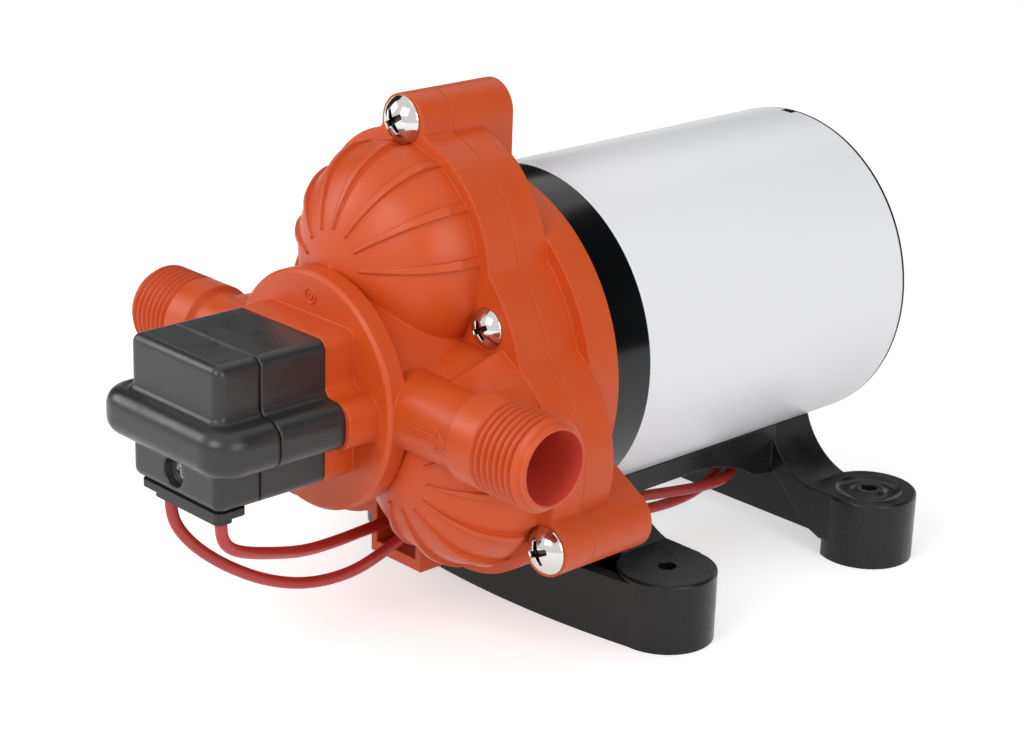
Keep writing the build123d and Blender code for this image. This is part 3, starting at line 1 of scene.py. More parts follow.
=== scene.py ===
"""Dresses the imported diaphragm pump: moulded plastics, lacquered motor, bright screws and both leads."""

import math

import bpy
import numpy as np
from bpy.props import FloatProperty, FloatVectorProperty, IntProperty, PointerProperty
from bpy.types import Operator, Panel, PropertyGroup
from mathutils import Matrix, Vector


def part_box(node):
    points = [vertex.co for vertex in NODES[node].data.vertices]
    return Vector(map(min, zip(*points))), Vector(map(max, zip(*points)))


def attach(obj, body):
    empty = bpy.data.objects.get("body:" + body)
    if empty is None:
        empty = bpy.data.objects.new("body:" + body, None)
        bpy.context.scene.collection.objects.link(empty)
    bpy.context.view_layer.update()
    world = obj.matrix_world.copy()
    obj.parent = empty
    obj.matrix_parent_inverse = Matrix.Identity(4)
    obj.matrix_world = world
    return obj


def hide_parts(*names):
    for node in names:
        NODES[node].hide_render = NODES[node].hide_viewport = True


bl_info = {
    "name": "Diaphragm pump dressing",
    "version": (1, 0, 0),
    "blender": (4, 5, 0),
    "location": "3D View > Sidebar > Pump",
    "description": "Finishes, leads and raised marks for a packed diaphragm pump",
    "category": "Object",
}

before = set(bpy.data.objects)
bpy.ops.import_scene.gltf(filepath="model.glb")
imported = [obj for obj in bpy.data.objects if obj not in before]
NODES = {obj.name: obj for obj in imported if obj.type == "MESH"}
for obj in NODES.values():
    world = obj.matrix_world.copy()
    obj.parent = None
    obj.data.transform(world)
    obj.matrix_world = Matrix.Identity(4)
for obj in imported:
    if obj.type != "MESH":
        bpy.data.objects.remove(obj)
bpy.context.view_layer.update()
MM = 0.001

# Share of white that the floor gives to the camera on top of the light that falls on it
FLOOR_LIFT = 0.46

# The motor's axis, read from the shaft
SHAFT_LOW, SHAFT_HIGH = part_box("motor_shaft")
AXIS_Z = (SHAFT_LOW[2] + SHAFT_HIGH[2]) / 2

# The ports' shared axis runs along X at this place, with the bore's radius and the neck's
PORT_Y = -101.1 * MM
PORT_Z = 66.1 * MM
PORT_BORE = 8.27 * MM
NECK_RADIUS = 8.9 * MM

# Flow arrow on the outlet's neck: its tip along X, the half widths of shaft and head, and the head's length
ARROW_TIP = 45.0 * MM
ARROW_SHAFT = 0.9 * MM
ARROW_BARB = 2.7 * MM
ARROW_HEAD = 3.3 * MM

# Round moulding mark on the collar's front face: its middle, its rings' thickness and the inner ring's share
COLLAR_FRONT = -110.7 * MM
MARK_X = 0.4 * MM
MARK_Z = 88.1 * MM
MARK_RIDGE = 0.3 * MM
MARK_INNER = 0.38

# Grain of the moulded surfaces: noise scale per metre and height
GRAIN_SCALE = 1200.0
GRAIN_HEIGHT = 0.00008

# What the lamps and cards point at
MIDDLE = Vector((0, -0.04, 0.06))

# Routes of the two leads, from the boot to the grommet, in millimetres
LEAD_A = [
    (12.6, -145.0, 47.0), (12.6, -145.0, 43.6), (12.6, -143.0, 40.4), (12.2, -138.4, 37.9),
    (9.8, -129.0, 34.3), (6.6, -117.5, 30.4), (1.6, -104.0, 27.3), (-2.6, -91.0, 25.4), (-4.1, -79.5, 25.0),
    (-3.8, -68.0, 22.6), (-2.6, -56.5, 20.4), (0.3, -44.0, 19.0), (4.8, -31.0, 18.2), (9.6, -18.0, 17.6),
    (13.0, -5.0, 17.0), (14.8, 8.0, 15.9), (14.2, 17.5, 15.6), (12.6, 22.6, 16.8),
    (11.2, 25.0, 19.6), (11.2, 25.0, 22.6),
]
LEAD_B = [
    (-5.5, -145.0, 47.0), (-5.5, -145.0, 43.2), (-4.4, -143.4, 38.6), (-2.6, -139.0, 33.2),
    (-1.4, -131.0, 27.0), (-0.4, -121.0, 21.4), (0.4, -110.0, 18.0), (1.6, -99.0, 18.0), (3.0, -91.0, 21.2),
    (4.2, -84.5, 24.7), (4.6, -76.0, 25.3), (4.6, -66.5, 22.4), (4.8, -55.0, 19.9), (5.8, -42.0, 18.2),
    (7.4, -29.0, 15.6), (9.0, -15.5, 12.9), (10.0, -2.0, 11.6), (10.0, 10.0, 12.0), (8.8, 18.0, 13.9),
    (7.4, 23.0, 16.8), (6.8, 25.0, 20.2), (6.8, 25.0, 22.6),
]


class PumpFinish(PropertyGroup):
    """Colours of the pump, as linear values."""

    housing: FloatVectorProperty(name="Housing", description="Orange moulded housing", subtype="COLOR",
                                 default=(0.61, 0.079, 0.011), min=0, max=1)
    # Painted glow: a redder colour inside the ports' bores stands in for the light that soaks through the
    # orange wall
    port_painted_glow: FloatVectorProperty(name="Port inside", description="Deep red in the ports", subtype="COLOR",
                                     default=(0.72, 0.082, 0.052), min=0, max=1)
    switch: FloatVectorProperty(name="Switch", description="Grey moulded pressure switch", subtype="COLOR",
                                default=(0.025, 0.025, 0.026), min=0, max=1)
    feet: FloatVectorProperty(name="Feet", description="Black moulded foot frame", subtype="COLOR",
                              default=(0.010, 0.010, 0.011), min=0, max=1)
    bell: FloatVectorProperty(name="Bell", description="Black lacquer of the motor's ends", subtype="COLOR",
                              default=(0.003, 0.0035, 0.004), min=0, max=1)
    can: FloatVectorProperty(name="Can", description="White lacquer of the motor's can", subtype="COLOR",
                             default=(0.88, 0.885, 0.915), min=0, max=1)
    lead: FloatVectorProperty(name="Leads", description="Red insulation", subtype="COLOR",
                              default=(0.44, 0.036, 0.031), min=0, max=1)


class PumpSizes(PropertyGroup):
    """Sizes of the pieces that are added to the frame."""

    lead_diameter: FloatProperty(name="Lead diameter", description="Over the insulation", subtype="DISTANCE",
                                 default=2.8 * MM, min=0.5 * MM, max=6 * MM, precision=5)
    arrow_length: FloatProperty(name="Arrow length", description="Raised flow arrow on the outlet's neck",
                                subtype="DISTANCE", default=11.0 * MM, min=2 * MM, max=20 * MM, precision=5)
    arrow_ridge: FloatProperty(name="Arrow ridge", description="Height of the arrow's raised outline",
                               subtype="DISTANCE", default=0.35 * MM, min=0.1 * MM, max=1 * MM, precision=5)
    mark_radius: FloatProperty(name="Mark radius", description="Round moulding mark on the collar",
                               subtype="DISTANCE", default=1.75 * MM, min=0.5 * MM, max=4 * MM, precision=5)
    outer_head_radius: FloatProperty(name="Outer head radius", description="Heads of the three long screws",
                                     subtype="DISTANCE", default=5.6 * MM, min=1 * MM, max=10 * MM,
                                     precision=5)
    outer_head_height: FloatProperty(name="Outer head height", description="Heads of the three long screws",
                                     subtype="DISTANCE", default=3.6 * MM, min=1 * MM, max=10 * MM,
                                     precision=5)
    inner_head_radius: FloatProperty(name="Inner head radius", description="Heads of the two short screws",
                                     subtype="DISTANCE", default=4.7 * MM, min=1 * MM, max=10 * MM,
                                     precision=5)
    inner_head_height: FloatProperty(name="Inner head height", description="Heads of the two short screws",
                                     subtype="DISTANCE", default=3.0 * MM, min=1 * MM, max=10 * MM,
                                     precision=5)
    ring_steps: IntProperty(name="Ring steps", description="Points round a small section", default=16, min=6,
                            max=64)


class PumpView(PropertyGroup):
    """Where the photograph was taken from."""

    place: FloatVectorProperty(name="Camera", description="Place of the camera", subtype="XYZ",
                               default=(0.4011, -0.4359, 0.2569))
    azimuth: FloatProperty(name="Azimuth", description="Turn of the camera round the object", subtype="ANGLE",
                           default=math.radians(45.93))
    elevation: FloatProperty(name="Elevation", description="Angle above the floor", subtype="ANGLE",
                             default=math.radians(19.67))
    roll: FloatProperty(name="Roll", description="Roll of the camera", subtype="ANGLE",
                        default=math.radians(1.9))
    lens: FloatProperty(name="Lens", description="Focal length for a sensor 36 mm wide", default=86.03)


class PumpLight(PropertyGroup):
    """Power of the studio lamps, in watts."""

    key: FloatProperty(name="Key", description="Large lamp at the front", default=3.4, min=0)
    side: FloatProperty(name="Side", description="Lamp on the outlet's side", default=2.6, min=0)
    top: FloatProperty(name="Top", description="Lamp above the motor", default=0.3, min=0)
    left: FloatProperty(name="Left", description="Lamp on the inlet's side", default=2.0, min=0)
    room: FloatProperty(name="Room", description="Even light from all round", default=0.47, min=0)


def settings(name):
    """One of the add-on's property groups on the scene."""
    return getattr(bpy.context.scene, name)


def shader(name):
    """A new node material and its tree, with the Principled shader and the output only."""
    material = bpy.data.materials.new(name)
    material.use_nodes = True
    tree = material.node_tree
    tree.nodes.clear()
    output = tree.nodes.new("ShaderNodeOutputMaterial")
    principled = tree.nodes.new("ShaderNodeBsdfPrincipled")
    tree.links.new(principled.outputs["BSDF"], output.inputs["Surface"])
    return material, tree, principled


def noise(tree, scale, detail=3.0, roughness=0.55):
    """A noise texture on Object coordinates."""
    places = tree.nodes.new("ShaderNodeTexCoord")
    texture = tree.nodes.new("ShaderNodeTexNoise")
    texture.inputs["Scale"].default_value = scale
    texture.inputs["Detail"].default_value = detail
    texture.inputs["Roughness"].default_value = roughness
    tree.links.new(places.outputs["Object"], texture.inputs["Vector"])
    return texture.outputs["Fac"]


def spread(tree, value, low, high, input_low=0.3, input_high=0.7):
    """A value brought to a range."""
    node = tree.nodes.new("ShaderNodeMapRange")
    node.inputs["From Min"].default_value = input_low
    node.inputs["From Max"].default_value = input_high
    node.inputs["To Min"].default_value = low
    node.inputs["To Max"].default_value = high
    tree.links.new(value, node.inputs["Value"])
    return node.outputs["Result"]


def tinted(tree, colour, value, change):
    """The colour between a darker and a lighter shade of itself, by a value from 0 to 1."""
    ramp = tree.nodes.new("ShaderNodeValToRGB")
    ramp.color_ramp.elements[0].color = (*[c * (1 - change) for c in colour], 1)
    ramp.color_ramp.elements[1].color = (*[min(1, c * (1 + change)) for c in colour], 1)
    tree.links.new(value, ramp.inputs["Fac"])
    return ramp.outputs["Color"]


def relief(tree, principled, height, strength, distance, edge=0.0):
    """Fine surface relief, and softened edges where an edge radius is given."""
    bump = tree.nodes.new("ShaderNodeBump")
    bump.inputs["Strength"].default_value = strength
    bump.inputs["Distance"].default_value = distance
    tree.links.new(height, bump.inputs["Height"])
    if edge > 0:
        soft = tree.nodes.new("ShaderNodeBevel")
        soft.samples = 8
        soft.inputs["Radius"].default_value = edge
        tree.links.new(soft.outputs["Normal"], bump.inputs["Normal"])
    tree.links.new(bump.outputs["Normal"], principled.inputs["Normal"])


def moulded(name, colour, roughness, grain, edge, specular=0.5):
    """Moulded plastic: a slightly uneven colour, a fine grain and softened edges."""
    material, tree, principled = shader(name)
    patches = noise(tree, 38.0, 4.0)
    tree.links.new(tinted(tree, colour, patches, 0.07), principled.inputs["Base Color"])
    sheen = spread(tree, noise(tree, 160.0), roughness - 0.05, roughness + 0.07)
    tree.links.new(sheen, principled.inputs["Roughness"])
    principled.inputs["Specular IOR Level"].default_value = specular
    relief(tree, principled, noise(tree, GRAIN_SCALE, 2.0), grain, GRAIN_HEIGHT, edge)
    return material


def orange_moulding(colour, painted_glow):
    """The housings' orange, with a painted glow inside the ports: a deeper, redder colour in the bores that
    stands in for the light soaking through the wall.
    """
    material, tree, principled = shader("orange_moulding")
    places = tree.nodes.new("ShaderNodeTexCoord")
    split = tree.nodes.new("ShaderNodeSeparateXYZ")
    tree.links.new(places.outputs["Object"], split.inputs["Vector"])
    aside = tree.nodes.new("ShaderNodeMath")
    aside.operation = "SUBTRACT"
    tree.links.new(split.outputs["Y"], aside.inputs[0])
    aside.inputs[1].default_value = PORT_Y
    above = tree.nodes.new("ShaderNodeMath")
    above.operation = "SUBTRACT"
    tree.links.new(split.outputs["Z"], above.inputs[0])
    above.inputs[1].default_value = PORT_Z
    off_axis = tree.nodes.new("ShaderNodeCombineXYZ")
    tree.links.new(aside.outputs[0], off_axis.inputs["Y"])
    tree.links.new(above.outputs[0], off_axis.inputs["Z"])
    distance = tree.nodes.new("ShaderNodeVectorMath")
    distance.operation = "LENGTH"
    tree.links.new(off_axis.outputs["Vector"], distance.inputs[0])
    # Painted glow mask: 1 inside the bore's radius, where the colour turns to the redder port colour
    inside = spread(tree, distance.outputs["Value"], 1.0, 0.0, PORT_BORE + 0.05 * MM, PORT_BORE + 0.2 * MM)
    blend = tree.nodes.new("ShaderNodeMix")
    blend.data_type = "RGBA"
    tree.links.new(inside, blend.inputs["Factor"])
    tree.links.new(tinted(tree, colour, noise(tree, 38.0, 4.0), 0.06), blend.inputs["A"])
    tree.links.new(tinted(tree, painted_glow, noise(tree, 38.0, 4.0), 0.1), blend.inputs["B"])
    tree.links.new(blend.outputs["Result"], principled.inputs["Base Color"])
    tree.links.new(spread(tree, noise(tree, 160.0), 0.36, 0.46), principled.inputs["Roughness"])
    principled.inputs["Specular IOR Level"].default_value = 0.4
    relief(tree, principled, noise(tree, GRAIN_SCALE, 2.0), 0.08, GRAIN_HEIGHT, 0.0006)
    return material


def lacquer(name, colour, roughness, edge, specular=0.5):
    """Lacquered metal: an even colour with a faint orange peel under a clear coat."""
    material, tree, principled = shader(name)
    tree.links.new(tinted(tree, colour, noise(tree, 22.0), 0.02), principled.inputs["Base Color"])
    principled.inputs["Roughness"].default_value = roughness
    principled.inputs["Specular IOR Level"].default_value = specular
    principled.inputs["Coat Weight"].default_value = 0.1
    principled.inputs["Coat Roughness"].default_value = 0.12
    relief(tree, principled, noise(tree, 420.0, 2.0), 0.05, 0.00005, edge)
    return material


def metal(name, colour, roughness, grain=0.12, edge=0.0):
    """Bare metal with faint scratches."""
    material, tree, principled = shader(name)
    principled.inputs["Metallic"].default_value = 1.0
    tree.links.new(tinted(tree, colour, noise(tree, 300.0), 0.06), principled.inputs["Base Color"])
    scratches = spread(tree, noise(tree, 700.0), roughness * 0.7, roughness * 1.3)
    tree.links.new(scratches, principled.inputs["Roughness"])
    relief(tree, principled, noise(tree, 1500.0, 2.0), grain, 0.00003, edge)
    return material


def dress(material, *names):
    """Give CAD nodes a material."""
    for name in names:
        slots = NODES[name].material_slots
        for index in range(len(slots)):
            slots[index].material = material
        if not len(slots):
            NODES[name].data.materials.append(material)


def raised_piece(name, vertices, faces, material):
    """A new mesh object from arrays, raised on the orange housing."""
    mesh = bpy.data.meshes.new(name)
    mesh.from_pydata(np.asarray(vertices).reshape(-1, 3).tolist(), [], np.asarray(faces).tolist())
    mesh.polygons.foreach_set("use_smooth", np.ones(len(mesh.polygons), dtype=bool))
    mesh.materials.append(material)
    mesh.update()
    piece = bpy.data.objects.new(name, mesh)
    bpy.context.scene.collection.objects.link(piece)
    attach(piece, "pump_body")


def grid_faces(rows, columns, closed_rows=False):
    """Quads of a grid of points, wrapped round along its columns, and along its rows if they are closed."""
    row = np.arange(rows if closed_rows else rows - 1)
    column = np.arange(columns)
    i, j = np.meshgrid(row, column, indexing="ij")
    after_i = (i + 1) % rows
    after_j = (j + 1) % columns
    quads = [i * columns + j, i * columns + after_j, after_i * columns + after_j, after_i * columns + j]
    return np.stack(quads, -1).reshape(-1, 4)


def tube_along(path, radius, steps):
    """A round tube on a closed path: each point plus the radius times cosine and sine across the path."""
    along = np.roll(path, -1, axis=0) - np.roll(path, 1, axis=0)
    along /= np.linalg.norm(along, axis=1)[:, None]
    flat = path - path.mean(axis=0)
    normal = np.linalg.svd(flat)[2][2]
    across = np.cross(along, normal)
    across /= np.linalg.norm(across, axis=1)[:, None]
    lift = np.cross(across, along)
    turn = np.linspace(0, 2 * math.pi, steps, endpoint=False)
    ring = path[:, None, :] + radius * (np.cos(turn)[None, :, None] * across[:, None, :]
                                        + np.sin(turn)[None, :, None] * lift[:, None, :])
    return ring, grid_faces(len(path), steps, closed_rows=True)


class PUMP_OT_housings(Operator):
    """Orange housings with their fine moulded grain, and the pale plastics inside"""

    bl_idname = "pump.housings"
    bl_label = "Housings"

    def execute(self, context):
        finish = settings("pump_finish")
        dress(orange_moulding(finish.housing, finish.port_painted_glow), "upper_housing", "lower_housing")
        pale = moulded("pale_moulding", (0.62, 0.61, 0.57), 0.45, 0.2, 0.0003)
        dress(pale, "valve_plate", "pistons", "wobble_plate", "brush_holder", "switch_plunger")
        rubber = moulded("black_rubber", (0.02, 0.02, 0.021), 0.62, 0.5, 0.0002, 0.3)
        dress(rubber, "housing_seal", "inlet_valves", "outlet_valve", "diaphragm", "switch_diaphragm",
              "lead_grommet")
        return {"FINISHED"}


class PUMP_OT_motor(Operator):
    """Black bell and cap, white can, and the motor's inside"""

    bl_idname = "pump.motor"
    bl_label = "Motor"

    def execute(self, context):
        finish = settings("pump_finish")
        dress(lacquer("black_lacquer", finish.bell, 0.16, 0.0004, 0.3), "front_bell", "rear_cap")
        dress(lacquer("white_lacquer", finish.can, 0.33, 0.0003, 0.4), "motor_can")
        steel = metal("turned_steel", (0.56, 0.56, 0.57), 0.3)
        dress(steel, "motor_shaft", "front_bearing", "rear_bearing", "wobble_bearing", "through_bolts",
              "motor_flange_screws", "cam_set_screw", "piston_screws", "base_screws", "brush_springs",
              "switch_lever", "lever_pin", "switch_screws", "adjusting_spring")
        dress(metal("laminated_steel", (0.32, 0.32, 0.34), 0.45, 0.4), "armature_core")
        dress(metal("copper_wire", (0.72, 0.32, 0.16), 0.3, 0.6), "armature_windings", "commutator")
        dress(metal("brass", (0.75, 0.55, 0.24), 0.28), "cam", "terminals")
        dress(moulded("ferrite", (0.035, 0.035, 0.037), 0.6, 0.6, 0.0002), "magnets", "brushes")
        return {"FINISHED"}


def cross_depth(along, across, reach, half_width):
    """Depth share of one arm of a cross recess: 1 in the middle, a little thinner towards its blunt end."""
    share = np.clip(1 - np.abs(along) / reach, 0, 1)
    width = half_width * (0.75 + 0.25 * share)
    wall = np.clip((width - np.abs(across)) / (0.3 * half_width), 0, 1)
    return np.clip(share * 5.0, 0, 1) * wall


def screw_points(head_radius, head_height, shank_radius, length, turn):
    """A screw on the Z axis: crown z = c + sqrt(R^2 - r^2) less the cross, then edge, underside and shank."""
    steps = 144
    fine, coarse, recess_end = 46, 12, 0.66
    edge = 0.12 * head_height
    centre = (head_height ** 2 - edge ** 2 - head_radius ** 2) / (2 * (head_height - edge))
    crown = head_height - centre
    shares = [np.linspace(0, recess_end, fine)[1:], np.linspace(recess_end, 1.0, coarse)[1:]]
    radii = np.concatenate(shares) * head_radius
    around = np.linspace(0, 2 * math.pi, steps, endpoint=False)
    r, a = np.meshgrid(radii, around, indexing="ij")
    x, y = r * np.cos(a), r * np.sin(a)
    u = x * math.cos(turn) + y * math.sin(turn)
    v = -x * math.sin(turn) + y * math.cos(turn)
    reach, half_width = 0.52 * head_radius, 0.15 * head_radius
    hollow = np.maximum(cross_depth(u, v, reach, half_width), cross_depth(v, u, reach, half_width))
    z = centre + np.sqrt(crown ** 2 - r ** 2) - 0.5 * head_height * hollow
    rows = [np.stack([x, y, z], -1)]
    for radius, height in ((head_radius, edge * 0.4), (head_radius * 0.985, 0.0), (shank_radius, 0.0),
                           (shank_radius, -length)):
        flat = np.stack([radius * np.cos(around), radius * np.sin(around), np.full(steps, height)], -1)
        rows.append(flat[None])
    grid = np.concatenate(rows)
    depth = np.concatenate([hollow, np.zeros((4, steps))])
    top = np.array([[0, 0, head_height * 0.5]])
    bottom = np.array([[0, 0, -length]])
    points = np.concatenate([grid.reshape(-1, 3), top, bottom])
    count = grid.shape[0] * steps
    faces = [tuple(quad) for quad in grid_faces(grid.shape[0], steps)[:, ::-1]]
    faces += [(count, i, (i + 1) % steps) for i in range(steps)]
    last = count - steps
    faces += [(count + 1, last + (i + 1) % steps, last + i) for i in range(steps)]
    return points, faces, np.concatenate([depth.ravel(), [1.0, 0.0]])


def screw_group(name, node, places, sizes, turns, material):
    """Screws of one size in one piece, heads facing the front, in place of their CAD node."""
    points, faces, depths = [], [], []
    for (x, y, z), turn in zip(places, turns):
        local, local_faces, depth = screw_points(*sizes, turn)
        start = sum(len(part) for part in points)
        points.append(np.stack([x + local[:, 0], y - local[:, 2], z + local[:, 1]], -1))
        faces += [tuple(index + start for index in face) for face in local_faces]
        depths.append(depth)
    mesh = bpy.data.meshes.new(name)
    mesh.from_pydata(np.concatenate(points).tolist(), [], faces)
    mesh.polygons.foreach_set("use_smooth", np.ones(len(mesh.polygons), dtype=bool))
    # The recess depth share drives painted shade in the steel's colour
    recess = mesh.attributes.new("recess", "FLOAT", "POINT")
    recess.data.foreach_set("value", np.concatenate(depths).astype(np.float32))
    mesh.materials.append(material)
    mesh.update()
    piece = bpy.data.objects.new(name, mesh)
    bpy.context.scene.collection.objects.link(piece)
    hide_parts(node)
    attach(piece, "pump_body")


def screw_steel():
    """Polished steel with painted shade: its colour darkens down in the cross recess."""
    material, tree, principled = shader("polished_steel")
    principled.inputs["Metallic"].default_value = 1.0
    depth = tree.nodes.new("ShaderNodeAttribute")
    depth.attribute_name = "recess"
    # Painted shade: the colour goes from bright steel to nearly black as the recess deepens
    shade = tree.nodes.new("ShaderNodeValToRGB")
    shade.color_ramp.elements[0].color = (0.62, 0.61, 0.60, 1)
    shade.color_ramp.elements[1].color = (0.05, 0.048, 0.045, 1)
    shade.color_ramp.elements[1].position = 0.7
    tree.links.new(depth.outputs["Fac"], shade.inputs["Fac"])
    tree.links.new(shade.outputs["Color"], principled.inputs["Base Color"])
    tree.links.new(spread(tree, noise(tree, 700.0), 0.08, 0.14), principled.inputs["Roughness"])
    relief(tree, principled, noise(tree, 500.0, 2.0), 0.04, 0.00003)
    return material


class PUMP_OT_screws(Operator):
    """Bright domed screws of the housings and the adjuster"""

    bl_idname = "pump.screws"
    bl_label = "Bright screws"

    def execute(self, context):
        sizes = settings("pump_sizes")
        bright = screw_steel()
        low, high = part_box("outer_housing_screws")
        offset = high[2] - AXIS_Z - sizes.outer_head_radius
        seat = low[1] + sizes.outer_head_height
        turns = [math.radians(angle) for angle in (90, 210, 330)]
        places = [(offset * math.cos(turn), seat, AXIS_Z + offset * math.sin(turn)) for turn in turns]
        shape = (sizes.outer_head_radius, sizes.outer_head_height, 2.5 * MM, high[1] - seat)
        screw_group("outer_screws", "outer_housing_screws", places, shape, (0.55, 0.2, 0.4), bright)
        low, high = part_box("inner_housing_screws")
        seat = low[1] + sizes.inner_head_height
        middle = (low[2] + high[2]) / 2
        places = [(side * (high[0] - sizes.inner_head_radius), seat, middle) for side in (-1, 1)]
        shape = (sizes.inner_head_radius, sizes.inner_head_height, 2.1 * MM, high[1] - seat)
        screw_group("inner_screws", "inner_housing_screws", places, shape, (0.3, 0.5), bright)
        dress(metal("adjuster_steel", (0.80, 0.79, 0.78), 0.2, 0.2, 0.0002), "adjusting_screw")
        return {"FINISHED"}


class PUMP_OT_switch(Operator):
    """Grey pressure switch with its rubber boot"""

    bl_idname = "pump.switch"
    bl_label = "Pressure switch"

    def execute(self, context):
        finish = settings("pump_finish")
        grey = moulded("grey_moulding", finish.switch, 0.30, 0.05, 0.0010, 0.42)
        dress(grey, "switch_body", "switch_cover")
        darker = tuple(c * 0.8 for c in finish.switch)
        dress(moulded("boot_rubber", darker, 0.5, 0.4, 0.0004, 0.4), "wire_boot")
        dress(moulded("switch_black", (0.02, 0.02, 0.021), 0.3, 0.2, 0.0002), "micro_switch")
        dress(moulded("button_red", (0.45, 0.02, 0.02), 0.3, 0.2, 0.0002), "switch_button")
        return {"FINISHED"}


class PUMP_OT_feet(Operator):
    """Black foot frame, satin with a fine grain"""

    bl_idname = "pump.feet"
    bl_label = "Foot frame"

    def execute(self, context):
        finish = settings("pump_finish")
        dress(moulded("black_moulding", finish.feet, 0.28, 0.05, 0.0006, 0.32), "base")
        return {"FINISHED"}


def flow_arrow(material):
    """Raised outline of an arrow on the outlet's neck: points (x, R cos t, R sin t) about the port's axis."""
    sizes = settings("pump_sizes")
    tail, neck = ARROW_TIP - sizes.arrow_length, ARROW_TIP - ARROW_HEAD
    outline = np.array([(tail, -ARROW_SHAFT), (neck, -ARROW_SHAFT), (neck, -ARROW_BARB), (ARROW_TIP, 0.0),
                        (neck, ARROW_BARB), (neck, ARROW_SHAFT), (tail, ARROW_SHAFT)])
    share = np.linspace(0, 1, 12, endpoint=False)[None, :, None]
    sides = outline[:, None, :] + (np.roll(outline, -1, axis=0) - outline)[:, None, :] * share
    along, across = sides.reshape(-1, 2).T
    turn = across / NECK_RADIUS
    spine = np.stack([along, PORT_Y - NECK_RADIUS * np.cos(turn), PORT_Z + NECK_RADIUS * np.sin(turn)], -1)
    raised_piece("flow_arrow", *tube_along(spine, sizes.arrow_ridge, sizes.ring_steps), material)


def moulding_mark(material):
    """Round mark on the collar's face: two raised rings, each its middle plus a radius at every angle."""
    sizes = settings("pump_sizes")
    turn = np.linspace(0, 2 * math.pi, 48, endpoint=False)
    rings = {"moulding_ring": sizes.mark_radius, "moulding_dot": MARK_INNER * sizes.mark_radius}
    for name, radius in rings.items():
        spine = np.stack([MARK_X + radius * np.cos(turn), np.full_like(turn, COLLAR_FRONT),
                          MARK_Z + radius * np.sin(turn)], -1)
        raised_piece(name, *tube_along(spine, MARK_RIDGE, sizes.ring_steps), material)


class PUMP_OT_marks(Operator):
    """Raised flow arrow on the outlet's neck and the round moulding mark on the collar"""

    bl_idname = "pump.marks"
    bl_label = "Raised marks"

    def execute(self, context):
        orange = bpy.data.materials["orange_moulding"]
        flow_arrow(orange)
        moulding_mark(orange)
        return {"FINISHED"}


def lead_curve(name, points, node, material):
    """One lead as a spline of second degree through its control points, replacing its CAD tube."""
    curve = bpy.data.curves.new(name, "CURVE")
    curve.dimensions = "3D"
    curve.bevel_depth = settings("pump_sizes").lead_diameter / 2
    curve.bevel_resolution = 6
    curve.use_fill_caps = True
    spline = curve.splines.new("NURBS")
    spline.points.add(len(points) - 1)
    for point, place in zip(spline.points, points):
        point.co = (*[c * MM for c in place], 1.0)
    spline.order_u = 3
    spline.use_endpoint_u = True
    spline.resolution_u = 12
    curve.materials.append(material)
    lead = bpy.data.objects.new(name, curve)
    bpy.context.scene.collection.objects.link(lead)
    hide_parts(node)
    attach(lead, "pump_body")
    settings("pump_sizes").lead_diameter


class PUMP_OT_leads(Operator):
    """Two red leads from the switch's boot to the motor's grommet"""

    bl_idname = "pump.leads"
    bl_label = "Leads"

    def execute(self, context):
        finish = settings("pump_finish")
        material = moulded("red_insulation", finish.lead, 0.32, 0.15, 0.0, 0.5)
        lead_curve("lead_a", LEAD_A, "wire_a", material)
        lead_curve("lead_b", LEAD_B, "wire_b", material)
        return {"FINISHED"}


class PUMP_OT_stage(Operator):
    """Pale floor, soft lamps and the camera of the photograph"""

    bl_idname = "pump.stage"
    bl_label = "Stage"

    def execute(self, context):
        place_camera()
        place_floor()
        place_lamps()
        place_cards()
        return {"FINISHED"}


def place_camera():
    """The camera: its right, up and back axes from azimuth, elevation and roll."""
    view = settings("pump_view")
    a, e, w = view.azimuth, view.elevation, view.roll
    right = Vector((math.cos(a), math.sin(a), 0))
    up = Vector((-math.sin(a) * math.sin(e), math.cos(a) * math.sin(e), math.cos(e)))
    back = Vector((math.sin(a) * math.cos(e), -math.cos(a) * math.cos(e), math.sin(e)))
    rolled_right = math.cos(w) * right + math.sin(w) * up
    rolled_up = math.cos(w) * up - math.sin(w) * right
    data = bpy.data.cameras.new("camera")
    data.sensor_width = 36
    data.lens = view.lens
    data.clip_start = 0.01
    camera = bpy.data.objects.new("camera", data)
    rotation = Matrix((rolled_right, rolled_up, back)).transposed().to_4x4()
    camera.matrix_world = Matrix.Translation(view.place) @ rotation
    bpy.context.scene.collection.objects.link(camera)
    bpy.context.scene.camera = camera


def pale_to_camera(tree, strength_socket, plain, pale=1.0):
    """A pale strength for camera, gloss and transmission rays, and a plain level for all others."""
    path = tree.nodes.new("ShaderNodeLightPath")
    seen = tree.nodes.new("ShaderNodeMath")
    seen.operation = "MAXIMUM"
    tree.links.new(path.outputs["Is Camera Ray"], seen.inputs[0])
    tree.links.new(path.outputs["Is Glossy Ray"], seen.inputs[1])
    clear = tree.nodes.new("ShaderNodeMath")
    clear.operation = "MAXIMUM"
    tree.links.new(seen.outputs[0], clear.inputs[0])
    tree.links.new(path.outputs["Is Transmission Ray"], clear.inputs[1])
    level = tree.nodes.new("ShaderNodeMapRange")
    level.inputs["To Min"].default_value = plain
    level.inputs["To Max"].default_value = pale
    tree.links.new(clear.outputs[0], level.inputs["Value"])
    tree.links.new(level.outputs["Result"], strength_socket)


